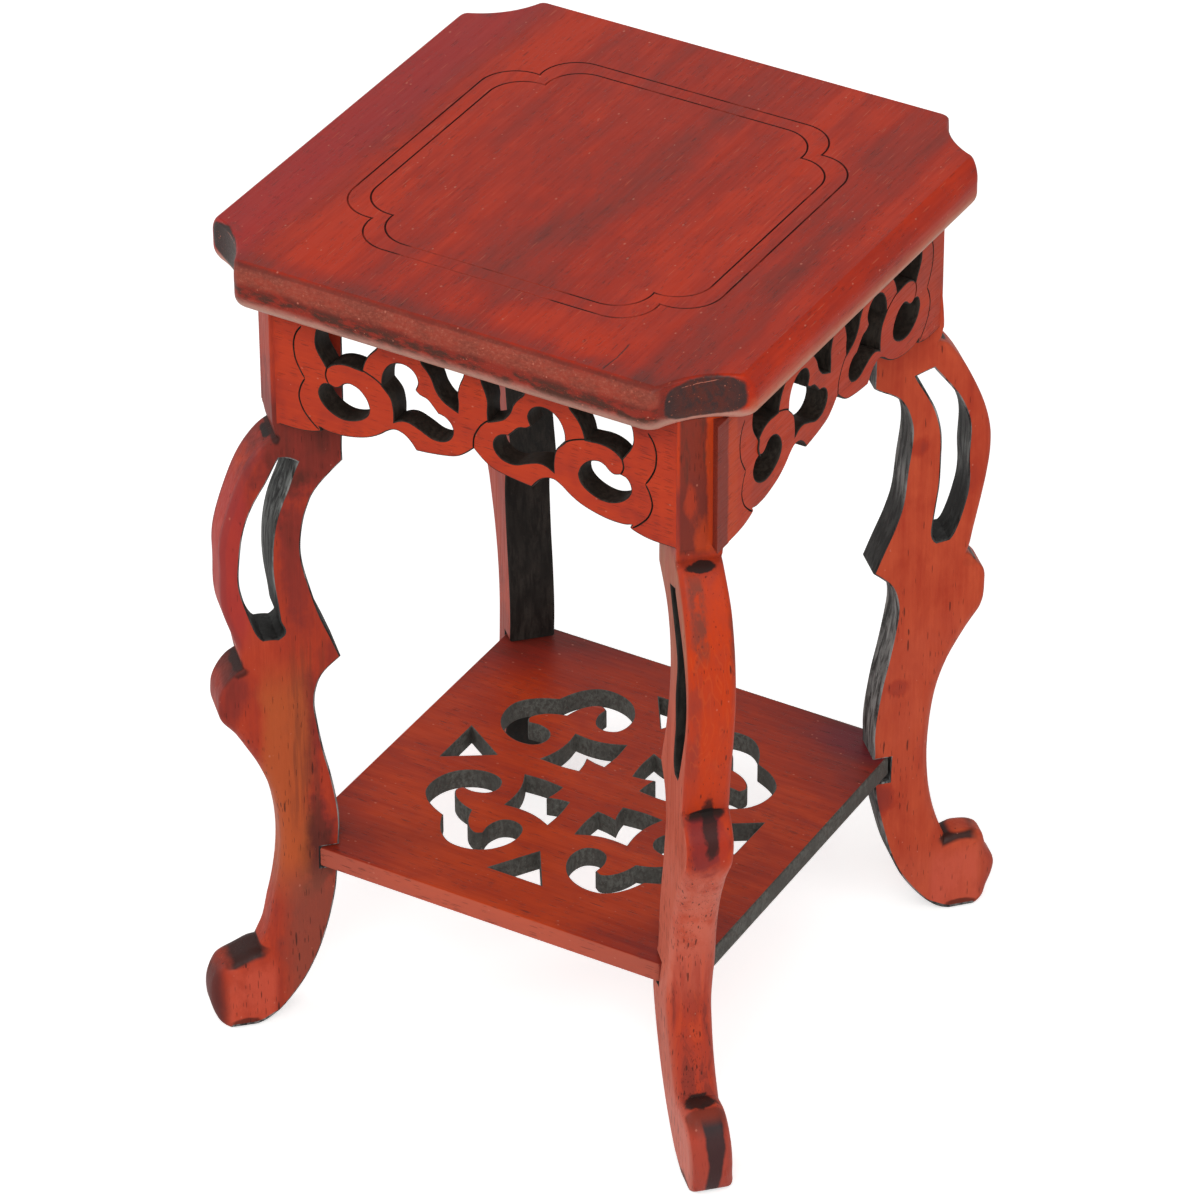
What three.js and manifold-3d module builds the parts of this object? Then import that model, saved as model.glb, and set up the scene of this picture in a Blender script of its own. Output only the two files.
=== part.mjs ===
// A small square display stand of red-stained hardwood, in millimetres, +Z up.
// The origin is on the floor, under the middle of the stand. The legs stand on the diagonals.

import * as THREE from 'three';
import { mergeVertices } from 'three/addons/utils/BufferGeometryUtils.js';
import Module from 'manifold-3d';

// Driving dimensions
const standHeight = 150;
const boardThickness = 8;
const boardHalfSide = 48.6;
const noseDepth = 3.4;
const scallopCentre = 48.5;
const scallopRadius = 10.5;
const scallopRounding = 3;

const legThickness = 7.8;
const legTopReach = 55;
const legTopInner = 43.4;
const tenonHeight = 5;
const tenonThickness = 5;
const tenonInner = 45.6;
const tenonOuter = 52.4;

const apronThickness = 3.8;
const apronFoot = 119.1;

const shelfTop = 34.4;
const shelfThickness = 3.6;
const shelfHalfSide = 37;
const shelfCornerReach = 48.5;
const notchReach = 48.9;

const pinRadius = 0.9;
const pinLength = 8.6;
const pinOffset = 30;
const pinTop = 146;

const gap = 0.3;
const curveSteps = 2;

// Places worked out from the driving dimensions
const boardBottom = standHeight - boardThickness;
const frameTop = boardBottom - gap;
const apronFace = (legTopReach + legThickness / 2) / Math.SQRT2;
const apronBack = apronFace - apronThickness;
const apronMiddle = (apronFace + apronBack) / 2;
const apronHalfWidth = (legTopReach - legThickness / 2) / Math.SQRT2;
const shelfBottom = shelfTop - shelfThickness;
const notchBottom = shelfBottom - gap;
const notchTop = shelfTop + gap;
const rightAngle = Math.PI / 2;

const wood = { board: 0xa83c28, frame: 0xb04028, shelf: 0x9a3322, pin: 0xc9a36a };

const wasm = await Module();
wasm.setup();

// Turns a closed three.js geometry into a solid that can be cut and joined.
function toSolid(geometry) {
  const bare = geometry.clone();
  bare.deleteAttribute('normal');
  bare.deleteAttribute('uv');
  const merged = mergeVertices(bare, 1e-4);
  return new wasm.Manifold(new wasm.Mesh({
    numProp: 3,
    vertProperties: Float32Array.from(merged.attributes.position.array),
    triVerts: Uint32Array.from(merged.index.array),
  }));
}

function toGeometry(solid) {
  const mesh = solid.getMesh();
  const geometry = new THREE.BufferGeometry();
  geometry.setAttribute('position', new THREE.BufferAttribute(mesh.vertProperties, 3));
  geometry.setIndex(new THREE.BufferAttribute(mesh.triVerts, 1));
  geometry.computeVertexNormals();
  return geometry;
}

// An outline is a list of runs. Each run is a smooth curve through its points, a run of two
// points is a straight line, and the next run starts where the last one ended.
function tracePoints(runs) {
  return runs.flatMap((run) => {
    const curve = new THREE.SplineCurve(run.map((point) => new THREE.Vector2(...point)));
    const steps = run.length === 2 ? 1 : curveSteps * (run.length - 1);
    return curve.getPoints(steps).slice(0, -1);
  });
}

const mapRuns = (runs, change) => runs.map((run) => run.map(change));
const reverseRuns = (runs) => runs.map((run) => [...run].reverse()).reverse();
const mirrorX = ([x, y]) => [-x, y];
const swapXY = ([x, y]) => [y, x];

// Extrudes an outline, given in a plane, between two distances along the plane's normal.
function plate(runs, from, to) {
  const shape = new THREE.Shape(tracePoints(runs));
  const geometry = new THREE.ExtrudeGeometry(shape, { depth: to - from, bevelEnabled: false });
  return geometry.translate(0, 0, from);
}

// A pierced plate that stands up: its drawing plane is X and Z, and its thickness runs along -Y.
function standingPlate(runs, holes, from, to) {
  const over = 1;
  let solid = toSolid(plate(runs, from, to).rotateX(rightAngle));
  for (const hole of holes) {
    solid = solid.subtract(toSolid(plate(hole, from - over, to + over).rotateX(rightAngle)));
  }
  return solid;
}

function box(x0, x1, y0, y1, z0, z1) {
  const geometry = new THREE.BoxGeometry(x1 - x0, y1 - y0, z1 - z0);
  return geometry.translate((x0 + x1) / 2, (y0 + y1) / 2, (z0 + z1) / 2);
}

function uprightCylinder(radius, x, y, z0, z1, sides) {
  const geometry = new THREE.CylinderGeometry(radius, radius, z1 - z0, sides);
  return geometry.rotateX(rightAngle).translate(x, y, (z0 + z1) / 2);
}

// Points on an arc, both ends included, between two angles in radians.
function arcPoints(x, y, radius, from, to, steps) {
  return Array.from({ length: steps + 1 }, (_, i) => {
    const angle = from + (to - from) * i / steps;
    return new THREE.Vector2(x + radius * Math.cos(angle), y + radius * Math.sin(angle));
  });
}

// What is cut off one corner of the board: a hollow arc with a rounded corner at each end.
function scallopCutter(from, to) {
  const inset = boardHalfSide - scallopRounding;
  const across = scallopCentre - inset;
  const along = Math.sqrt((scallopRadius + scallopRounding) ** 2 - across ** 2);
  const start = scallopCentre - along;
  const turn = Math.atan2(along, across);
  const clear = boardHalfSide + 12;
  const shape = new THREE.Shape([
    new THREE.Vector2(clear, start),
    ...arcPoints(inset, start, scallopRounding, 0, turn, 6),
    ...arcPoints(scallopCentre, scallopCentre, scallopRadius, turn + Math.PI,
      1.5 * Math.PI - turn, 12).slice(1, -1),
    ...arcPoints(start, inset, scallopRounding, rightAngle - turn, rightAngle, 6),
    new THREE.Vector2(start, clear),
    new THREE.Vector2(clear, clear),
  ]);
  const geometry = new THREE.ExtrudeGeometry(shape, { depth: to - from, bevelEnabled: false });
  return geometry.translate(0, 0, from);
}

// Top board: rounded edges all round, a hollow scallop across each corner,
// and blind holes underneath for the legs' tenons and the aprons' pins.
function topBoardSolid() {
  const flatHalf = boardHalfSide - noseDepth;
  const noseSteps = 5;
  const square = new THREE.Shape([
    new THREE.Vector2(-flatHalf, -flatHalf), new THREE.Vector2(flatHalf, -flatHalf),
    new THREE.Vector2(flatHalf, flatHalf), new THREE.Vector2(-flatHalf, flatHalf),
  ]);
  const halfThickness = boardThickness / 2;
  const noseMargin = 0.02;
  const body = new THREE.ExtrudeGeometry(square, {
    depth: noseMargin, steps: 1, bevelEnabled: true, bevelSegments: noseSteps,
    bevelSize: noseDepth, bevelThickness: halfThickness - noseMargin / 2,
  });
  body.translate(0, 0, boardBottom + halfThickness - noseMargin / 2);
  let board = toSolid(body);
  const over = 1;
  const scallop = scallopCutter(boardBottom - over, standHeight + over);
  for (let corner = 0; corner < 4; corner += 1) {
    board = board.subtract(toSolid(scallop.clone().rotateZ(corner * rightAngle)));
  }
  const mortise = box(tenonInner - gap, tenonOuter + gap, -tenonThickness / 2 - gap,
    tenonThickness / 2 + gap, boardBottom - over, frameTop + tenonHeight + gap);
  for (let corner = 0; corner < 4; corner += 1) {
    const turned = mortise.clone().rotateZ(rightAngle / 2 + corner * rightAngle);
    board = board.subtract(toSolid(turned));
  }
  for (let side = 0; side < 4; side += 1) {
    for (const end of [-1, 1]) {
      const hole = uprightCylinder(pinRadius + gap, end * pinOffset, -apronMiddle,
        boardBottom - over, pinTop + gap, 16);
      board = board.subtract(toSolid(hole.rotateZ(side * rightAngle)));
    }
  }
  return board;
}

// Apron fretwork, right half, drawn on the face from its middle line. The left half is its mirror.
const apronEdge = [
  [[0, 125.8], [1.5, 124.4], [3.2, 123.3], [5.6, 122.7], [8.3, 122.3], [10.4, 122.1]],
  [[10.4, 122.1], [11.3, 123.3], [12.5, 124.3], [14.1, 124.7], [15.6, 124], [17, 122.9],
    [18.9, 121.8], [21.3, 121], [24, 120.5], [26.6, 120.5], [28, 120.7]],
  [[28, 120.7], [28.6, 120.1], [30.6, 119.4], [33, apronFoot], [apronHalfWidth, apronFoot]],
];
const railBottom = 140.4;
const upperOuterHole = [
  [[17.3, 138.5], [18.8, 136.8], [19.6, 135.2], [19.95, 133.8]],
  [[19.95, 133.8], [21.2, 133.9], [22.4, 134], [24, 133.8], [25.4, 133.2], [26.3, 132.4]],
  [[26.3, 132.4], [27, 133.5], [27.8, 134.8], [28.2, 136.3], [27.9, 138.5], [26.9, railBottom]],
  [[26.9, railBottom], [17.6, railBottom]],
  [[17.6, railBottom], [17, 139.6], [17.3, 138.5]],
];
const lowerOuterHole = [
  [[18.8, 127.2], [19.1, 126], [20.2, 124.9], [22, 124.1], [23.9, 123.9], [25.7, 124.5],
    [27.1, 125.6], [27.8, 127], [27.6, 128.2], [26.9, 129.1], [25.9, 129.3]],
  [[25.9, 129.3], [24.9, 129], [24, 129.4], [23.3, 130.1]],
  [[23.3, 130.1], [22.2, 130.5], [20.6, 130], [19.3, 128.6], [18.8, 127.2]],
];
const scrollHole = [
  [[14.2, 126.3], [14.2, 128.2], [14.7, 130.4], [16.2, 132.1]],
  [[16.2, 132.1], [16.1, 133.7], [15.5, 135.3], [14.3, 136.6], [12.4, 137.1], [10.7, 136.4],
    [9.9, 134.8], [10.4, 133.2]],
  [[10.4, 133.2], [9.6, 132.5], [8.2, 132.1], [7.1, 131], [6.3, 130.1]],
  [[6.3, 130.1], [5.2, 129.9], [4.1, 129], [3.7, 127.7], [4.2, 126.4], [5.5, 125.5],
    [7.4, 125.4], [9.5, 126.3], [11.5, 127], [13, 126.9], [14.2, 126.3]],
];
const budHole = [
  [[1.5, railBottom], [1.7, 138.5], [2.4, 136.7], [2.8, 135], [2.7, 133.2], [2.8, 131.7]],
  [[2.8, 131.7], [4, 132.2], [5.4, 133], [6.5, 134.4], [7.1, 136], [8, 137.4], [9, 138.5],
    [9.4, railBottom]],
  [[9.4, railBottom], [1.5, railBottom]],
];

// One apron, standing at the front. Its ends are mitred against the faces of the legs.
function apronSolid() {
  const leftEdge = reverseRuns(mapRuns(apronEdge, mirrorX));
  const outline = [
    ...apronEdge,
    [[apronHalfWidth, apronFoot], [apronHalfWidth, frameTop]],
    [[apronHalfWidth, frameTop], [-apronHalfWidth, frameTop]],
    [[-apronHalfWidth, frameTop], [-apronHalfWidth, apronFoot]],
    ...leftEdge,
  ];
  const rightHoles = [upperOuterHole, lowerOuterHole, scrollHole, budHole];
  const leftHoles = rightHoles.map((hole) => reverseRuns(mapRuns(hole, mirrorX)));
  const board = standingPlate(outline, [...rightHoles, ...leftHoles], apronBack, apronFace);
  const mitreGap = gap * Math.SQRT2;
  const outer = apronHalfWidth - mitreGap;
  const inner = outer - apronThickness;
  const mitred = plate([
    [[-outer, -apronFace], [outer, -apronFace]],
    [[outer, -apronFace], [inner, -apronBack]],
    [[inner, -apronBack], [-inner, -apronBack]],
    [[-inner, -apronBack], [-outer, -apronFace]],
  ], apronFoot - 1, standHeight);
  let solid = board.intersect(toSolid(mitred));
  for (const end of [-1, 1]) {
    const hole = uprightCylinder(pinRadius + gap, end * pinOffset, -apronMiddle,
      pinTop - pinLength - gap, standHeight, 16);
    solid = solid.subtract(toSolid(hole));
  }
  return solid;
}

// Leg outline, drawn as distance from the stand's axis against height.
const legOuter = [
  [[legTopReach, frameTop], [legTopReach, 118]],
  [[legTopReach, 118], [56.6, 115.3], [58.9, 112.3], [61, 108.3], [62.8, 103.8], [63.7, 99],
    [63.9, 94], [63.5, 89.5], [62.8, 85], [61.9, 80], [60.9, 73.8]],
  [[60.9, 73.8], [62.5, 72.6], [63.8, 70.3], [64.2, 67.3], [63.6, 64], [62.2, 60.5],
    [60.2, 56.7], [58.2, 52.5], [56.4, 47.5], [55.3, 42.5], [54.8, 37.5], [54.9, 32.5],
    [55.5, 27.5], [56.7, 23], [58, 19.5], [59.4, 16.8]],
  [[59.4, 16.8], [61.2, 16.9], [63.4, 16], [65.3, 13.8], [66.6, 10.8], [67, 7.8], [66.5, 4.6],
    [65.5, 2], [64.2, 0]],
];
const legInner = [
  [[64.2, 0], [59, 0]],
  [[59, 0], [56.5, 1.8], [53.6, 5], [51, 9], [48.8, 14], [47.2, 19.5], [46.1, 25],
    [45.6, notchBottom]],
  [[45.6, notchBottom], [notchReach, notchBottom]],
  [[notchReach, notchBottom], [notchReach, notchTop]],
  [[notchReach, notchTop], [45.4, notchTop]],
  [[45.4, notchTop], [45.2, 39], [45.5, 43], [46.5, 49], [47.7, 54.5], [48.6, 60], [49, 64],
    [48.5, 67.3], [47.3, 69.7], [44.6, 72.2]],
  [[44.6, 72.2], [46, 76], [47.9, 81], [49.4, 86.5], [50.3, 92], [50.4, 97], [49.8, 101.5],
    [48, 105.5], [43.5, 109.5]],
  [[43.5, 109.5], [legTopInner, frameTop]],
];
const legSlot = [
  [[54.2, 77], [54.2, 79], [54.8, 83.5], [55.3, 88], [55.6, 92.5], [55.4, 96.8], [54.6, 101.2],
    [53.1, 105.5], [51.2, 109.8]],
  [[51.2, 109.8], [54.1, 110.9]],
  [[54.1, 110.9], [56.3, 107.5], [58.5, 103.5], [59.9, 99.5], [60.6, 95], [60.6, 90], [60, 86],
    [59, 81.5], [58, 77.3]],
  [[58, 77.3], [54.2, 77]],
];

// One leg, standing along +X. A tenon on its head goes up into the board.
function legSolid() {
  const outline = [...legOuter, ...legInner, [[legTopInner, frameTop], [legTopReach, frameTop]]];
  const board = standingPlate(outline, [legSlot], -legThickness / 2, legThickness / 2);
  const overlap = 0.5;
  const tenon = box(tenonInner, tenonOuter, -tenonThickness / 2, tenonThickness / 2,
    frameTop - overlap, frameTop + tenonHeight);
  return board.add(toSolid(tenon));
}

// Shelf fretwork, one half of each cut-out, drawn from the diagonal of a quarter of the shelf.
const cloudHalf = [
  [[15.7, 15.7], [15.2, 17.4], [14.4, 19], [13.2, 20.3], [11.8, 20.9], [10.6, 20.2]],
  [[10.6, 20.2], [10.8, 18], [9.9, 15.8], [8, 15], [6, 15.8], [5.2, 18], [5.6, 20.6],
    [7.2, 23.1], [9.4, 24.6], [12, 25.2], [14.4, 24.9], [16.3, 23.6], [17.8, 21.6], [19, 19]],
];
const leafHalf = [
  [[6.6, 6.6], [4.6, 6.1], [2.8, 5.9]],
  [[2.8, 5.9], [2.5, 9.4], [2.7, 12.9]],
  [[2.7, 12.9], [4.5, 12.1], [6.6, 11.5], [9, 11.3], [11.5, 11.5]],
];
const triangleApex = 20.2;
const triangleBase = 27.9;
const triangleHalf = 4.9;

// Closes a half outline, drawn on one side of the diagonal, with its own mirror image.
const closeOnDiagonal = (half) => [...half, ...reverseRuns(mapRuns(half, swapXY))];

// Shelf: a thin square board with its corners cut off to fit the legs' notches.
function shelfSolid() {
  const cut = shelfCornerReach * Math.SQRT2 - shelfHalfSide;
  const corners = [];
  for (const [sx, sy] of [[-1, -1], [1, -1], [1, 1], [-1, 1]]) {
    const onX = [sx * cut, sy * shelfHalfSide];
    const onY = [sx * shelfHalfSide, sy * cut];
    corners.push(...(sx * sy > 0 ? [onY, onX] : [onX, onY]));
  }
  const outline = corners.map((corner, i) => [corner, corners[(i + 1) % corners.length]]);
  let shelf = toSolid(plate(outline, shelfBottom, shelfTop));
  const triangle = [
    [[triangleApex, 0], [triangleBase, -triangleHalf]],
    [[triangleBase, -triangleHalf], [triangleBase, triangleHalf]],
    [[triangleBase, triangleHalf], [triangleApex, 0]],
  ];
  const over = 1;
  for (const cutOut of [closeOnDiagonal(cloudHalf), closeOnDiagonal(leafHalf), triangle]) {
    const cutter = plate(cutOut, shelfBottom - over, shelfTop + over);
    for (let quarter = 0; quarter < 4; quarter += 1) {
      shelf = shelf.subtract(toSolid(cutter.clone().rotateZ(quarter * rightAngle)));
    }
  }
  return shelf;
}

// A bamboo pin that ties an apron to the board.
function pinGeometry() {
  const tip = 0.3;
  const half = pinLength / 2;
  const profile = [
    new THREE.Vector2(0, -half), new THREE.Vector2(pinRadius - tip, -half),
    new THREE.Vector2(pinRadius, -half + tip), new THREE.Vector2(pinRadius, half - tip),
    new THREE.Vector2(pinRadius - tip, half), new THREE.Vector2(0, half),
  ];
  return new THREE.LatheGeometry(profile, 16).rotateX(rightAngle);
}

const stand = new THREE.Group();

function addPiece(name, geometry, colour, turn = 0) {
  const material = new THREE.MeshStandardMaterial({ color: colour, roughness: 0.5, metalness: 0 });
  const mesh = new THREE.Mesh(geometry, material);
  mesh.name = name;
  mesh.rotation.z = turn;
  stand.add(mesh);
  return mesh;
}

addPiece('top_board', toGeometry(topBoardSolid()), wood.board);
addPiece('shelf', toGeometry(shelfSolid()), wood.shelf);

const sides = ['front', 'right', 'back', 'left'];
const apronGeometry = toGeometry(apronSolid());
sides.forEach((side, i) => addPiece(`apron_${side}`, apronGeometry, wood.frame, i * rightAngle));

const legCorners = ['front_right', 'back_right', 'back_left', 'front_left'];
const legGeometry = toGeometry(legSolid());
legCorners.forEach((corner, i) => {
  addPiece(`leg_${corner}`, legGeometry, wood.frame, (i - 0.5) * rightAngle);
});

const pin = pinGeometry();
sides.forEach((side, i) => {
  for (const [end, place] of [['a', -pinOffset], ['b', pinOffset]]) {
    const mesh = addPiece(`pin_${side}_${end}`, pin, wood.pin, i * rightAngle);
    const middle = new THREE.Vector3(place, -apronMiddle, pinTop - pinLength / 2);
    mesh.position.copy(middle.applyAxisAngle(new THREE.Vector3(0, 0, 1), i * rightAngle));
  }
});

export default stand;
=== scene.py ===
import math

import bpy
from mathutils import Matrix, Vector
from mathutils.geometry import tessellate_polygon


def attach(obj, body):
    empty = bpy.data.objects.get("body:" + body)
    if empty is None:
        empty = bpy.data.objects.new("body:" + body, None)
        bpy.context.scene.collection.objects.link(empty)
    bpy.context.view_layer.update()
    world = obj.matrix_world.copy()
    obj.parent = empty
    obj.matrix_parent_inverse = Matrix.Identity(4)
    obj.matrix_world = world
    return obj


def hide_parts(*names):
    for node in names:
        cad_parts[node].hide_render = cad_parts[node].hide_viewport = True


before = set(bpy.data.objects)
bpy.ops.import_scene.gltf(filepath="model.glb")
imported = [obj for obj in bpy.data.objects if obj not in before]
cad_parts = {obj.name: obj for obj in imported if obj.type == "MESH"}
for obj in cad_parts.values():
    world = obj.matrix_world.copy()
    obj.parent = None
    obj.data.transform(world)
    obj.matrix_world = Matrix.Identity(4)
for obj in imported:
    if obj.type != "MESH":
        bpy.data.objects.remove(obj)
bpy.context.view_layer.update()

# Sizes are in millimetres, and become metres where a mesh is made.
MM = 0.001
ROOT_HALF = math.sqrt(0.5)

# Top board
BOARD_TOP = 150.0
BOARD_BOTTOM = 142.0
BOARD_HALF = 48.35
BOARD_SHIFT = Vector((-0.25, 0.1))
FLAT_HALF = 46.4
NOSE_MIDDLE = 146.2
NOSE_LOWER_RADIUS = 2.2
NOSE_LOWER_STEPS = 7
NOSE_UPPER_STEPS = 10
SCALLOP_CENTRE = 51.5
SCALLOP_RADIUS = 14.8
SCALLOP_LOWER_RIM = 1.2
SCALLOP_UPPER_RIM = 0.5
SCALLOP_RIM_HEIGHT = 0.6
FILLET_AT_NOSE = 2.6
FILLET_AT_TOP = 1.2
GROOVE_HALF_WIDTH = 0.16
GROOVE_DEPTH = 0.28
GROOVE_FADING = 0.85

# The two engraved frames on the board: half a side, and the corner lobes' radius and place along the side
OUTER_FRAME = (32.9, 6.4, 19.3)
INNER_FRAME = (30.0, 6.1, 17.2)

# Aprons and legs end just under the board
JOINT_GAP = 0.1
FRAME_TOP = BOARD_BOTTOM - JOINT_GAP

# Aprons. APRON_FACE is how far their outer face lies from the middle of the stand.
APRON_FACE = 41.65
APRON_THICKNESS = 3.8
APRON_HALF = 36.13
APRON_LOW = 119.1
APRON_HOLE_TOP = 140.4
APRON_EDGE = 0.25
APRON_GLUED_EDGE = 0.02
APRON_LINE_WIDTH = 0.30
APRON_LINE_DEPTH = 0.28
LINE_TAPER = 0.35
CUTTER_RISE = 0.2

# How close to an apron's end a point counts as the end itself, and to an end or the top as glued
END_WIDTH = 0.05
GLUED_WIDTH = 0.6

# Legs
LEG_THICKNESS = 7.8
LEG_BOW_EDGE = 1.3
LEG_KNEE_EDGE = 0.9
LEG_LOW_EDGE = 2.5
LEG_CRISP_EDGE = 0.3
LEG_SOLE_EDGE = 0.9

# The real frame leans a little under the board, and its feet stand a little askew
LEAN = Vector((1.7, -0.8))
LEAN_START = 34.0
LEAN_END = 115.0
FOOT_SHIFT = [Vector((1.2, 0.2)), Vector((-0.4, 1.2)), Vector((0, 0)), Vector((-0.5, 0))]
APRON_SHIFT = [Vector((2.0, -0.3)), Vector((1.65, -0.72)), LEAN, LEAN]
APRON_YAW = [0.0, 0.0153, 0.0, 0.0]
APRON_DROP = 0.4
APRON_NEAR_REACH = [0.0, 3.2, 0.0, 0.0]

# The near leg is turned about a line at the pivot's distance from the axis. Two legs are trimmed thinner.
NEAR_LEG_PIVOT = 64.0
NEAR_LEG_TURN = 0.065
NEAR_LEG_HEAD_TURN = 0.033
NEAR_LEG_TRIM = 0.6
NEAR_LEG_HEAD_TRIM = 0.36
RIGHT_LEG_TRIM = 1.4

# Heights between which the near leg's turn and trim set in or end
TURN_STARTS = (28.0, 38.0)
HEAD_TURN_STARTS = (92.0, 112.0)
TRIM_ENDS = (15.0, 35.0)
HEAD_TRIM_STARTS = (108.0, 116.0)

# Shelf. SHELF_CORNER is the distance from the axis to each cut-off corner.
SHELF_TOP = 34.4
SHELF_THICKNESS = 3.6
SHELF_HALF = 37.0
SHELF_CORNER = 48.5
SHELF_EDGE = 0.3
SHELF_HOLE_EDGE = 0.2
SHELF_RIGHT_GROWTH = 0.3
SHELF_RIGHT_SKEW = 0.014
SHELF_GROWTH_STARTS = (29.0, 36.0)

# Distances between the points of an outline
CURVE_STEP = 0.45
LINE_STEP = 0.6
SHELF_STEP = 1.2
FRAME_STEP = 1.5

# Numbers of points along the board's side, on its arcs and around a pin
SIDE_POINTS = 60
FILLET_POINTS = 8
SCALLOP_POINTS = 28
LOBE_POINTS = 26
PIN_SIDES = 12

SHARP_ANGLE = math.radians(38)

SIDES = ("front", "right", "back", "left")
CORNERS = ("front_right", "back_right", "back_left", "front_left")
NEAR_LEG = CORNERS.index("front_right")
RIGHT_LEG = CORNERS.index("back_right")
LEFT_LEG = CORNERS.index("front_left")

# Camera, found from the photograph: angles in degrees, distances in metres and the lens in millimetres
STAND_MIDDLE = Vector((0, 0, 0.075))
CAMERA_AZIMUTH = 30.17
CAMERA_ELEVATION = 34.025
CAMERA_ROLL = 0.269
CAMERA_DISTANCE = 1.130069
CAMERA_LENS = 209.257
AIM_LEFT = 0.000027
AIM_DOWN = 0.002374

# Light: how bright the room and the floor are, and the floor's size and its place below the feet in metres
ROOM_LIGHT = 0.34
FLOOR_GLOW = 0.54
FLOOR_SIZE = 6.0
FLOOR_GAP = 0.0002

# Soft boxes: azimuth and elevation in degrees, distance and size in metres, and watts
SOFT_BOXES = {
    "key_light": (24, 38, 1.2, 0.7, 6.5),
    "right_light": (78, 30, 1.4, 0.8, 4.4),
    "left_light": (-62, 28, 1.4, 0.8, 6.0),
}


# Outlines

def curve_point(before, start, end, after, t):
    """A point on the smooth curve from start to end."""
    lean_in = (end - before) / 2
    lean_out = (after - start) / 2
    cubic = (2 * start - 2 * end + lean_in + lean_out) * t ** 3
    square = (-3 * start + 3 * end - 2 * lean_in - lean_out) * t * t
    return cubic + square + lean_in * t + start


def run_points(run, step=CURVE_STEP):
    """Points along a smooth curve through the run, without its last point."""
    places = [Vector(p) for p in run]
    points = []
    for i in range(len(places) - 1):
        before = places[max(i - 1, 0)]
        after = places[min(i + 2, len(places) - 1)]
        length = (places[i + 1] - places[i]).length
        count = max(1, round(length / step))
        for k in range(count):
            points.append(curve_point(before, places[i], places[i + 1], after, k / count))
    return points


def trace(runs):
    """A closed outline from runs that each start where the last one ends."""
    points = []
    for run in runs:
        points += run_points(run)
    return points


def mirror(runs):
    """The runs on the other side of the middle, in the order that keeps them joined."""
    return [[(-x, y) for x, y in reversed(run)] for run in reversed(runs)]


def swap(runs):
    """The runs mirrored in the diagonal."""
    return [[(y, x) for x, y in reversed(run)] for run in reversed(runs)]


def four_times(quarter):
    """The points of one side and the corner on its right, repeated around the middle."""
    points = []
    for turn in range(4):
        spin = Matrix.Rotation(turn * math.pi / 2, 2)
        points += [spin @ p for p in quarter]
    return points


def ease(value, low, high):
    """0 below low, 1 above high, and smooth between."""
    t = max(0.0, min(1.0, (value - low) / (high - low)))
    return t * t * (3 - 2 * t)


def area(loop):
    """Signed area of a closed outline."""
    total = 0.0
    for i, point in enumerate(loop):
        ahead = loop[(i + 1) % len(loop)]
        total += point.x * ahead.y - ahead.x * point.y
    return total / 2


def turned(loop, anticlockwise):
    """The outline in the wanted direction."""
    if (area(loop) > 0) == anticlockwise:
        return loop
    return list(reversed(loop))


def inward(loop):
    """At each point, the mitred step towards the side on the left of the outline."""
    steps = []
    for i, point in enumerate(loop):
        into = (point - loop[i - 1]).normalized()
        away = (loop[(i + 1) % len(loop)] - point).normalized()
        first = Vector((-into.y, into.x))
        second = Vector((-away.y, away.x))
        stretch = max(1 + first.dot(second), 0.35)
        steps.append((first + second) / stretch)
    return steps


# Meshes

def cap_triangles(edges):
    """Triangles that fill the first edge around the others. An edge is (outline, its first vertex)."""
    flat = [[Vector((p.x, p.y, 0)) for p in loop] for loop, first in edges]
    points = [p for loop in flat for p in loop]
    numbers = []
    for loop, first in edges:
        numbers += range(first, first + len(loop))
    triangles = []
    for a, b, c in tessellate_polygon(flat):
        cross = (points[b] - points[a]).cross(points[c] - points[a]).z
        if abs(cross) < 1e-9:
            continue
        corners = (a, b, c) if cross > 0 else (a, c, b)
        triangles.append([numbers[k] for k in corners])
    return triangles


class Solid:
    """Vertices and faces of one piece, with a material number for each face."""

    def __init__(self):
        self.vertices = []
        self.faces = []
        self.finishes = []

    def add_face(self, corners, finish):
        self.faces.append(tuple(corners))
        self.finishes.append(finish)

    def add_ring(self, places):
        first = len(self.vertices)
        self.vertices += places
        return first

    def join_rings(self, lower, upper, count, finish):
        """Quads between two rings; finish is a material number or a function of the point's number."""
        for i in range(count):
            j = (i + 1) % count
            number = finish(i) if callable(finish) else finish
            self.add_face((lower + i, lower + j, upper + j, upper + i), number)

    def fill(self, edges, downwards=False):
        for triangle in cap_triangles(edges):
            self.add_face(reversed(triangle) if downwards else triangle, 0)


def bar(rings, finish):
    """A solid through rings of as many points each, closed at both ends."""
    solid = Solid()
    firsts = [solid.add_ring(ring) for ring in rings]
    count = len(rings[0])
    for lower, upper in zip(firsts, firsts[1:]):
        solid.join_rings(lower, upper, count, finish)
    solid.add_face(reversed(range(count)), finish)
    solid.add_face(range(firsts[-1], firsts[-1] + count), finish)
    return solid


def quarter_steps(count):
    """(share of the radius inwards, share of the radius towards the face) for a rounded edge."""
    angles = [math.pi / 2 * k / count for k in range(count + 1)]
    return [(1 - math.cos(a), math.sin(a)) for a in angles]


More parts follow.
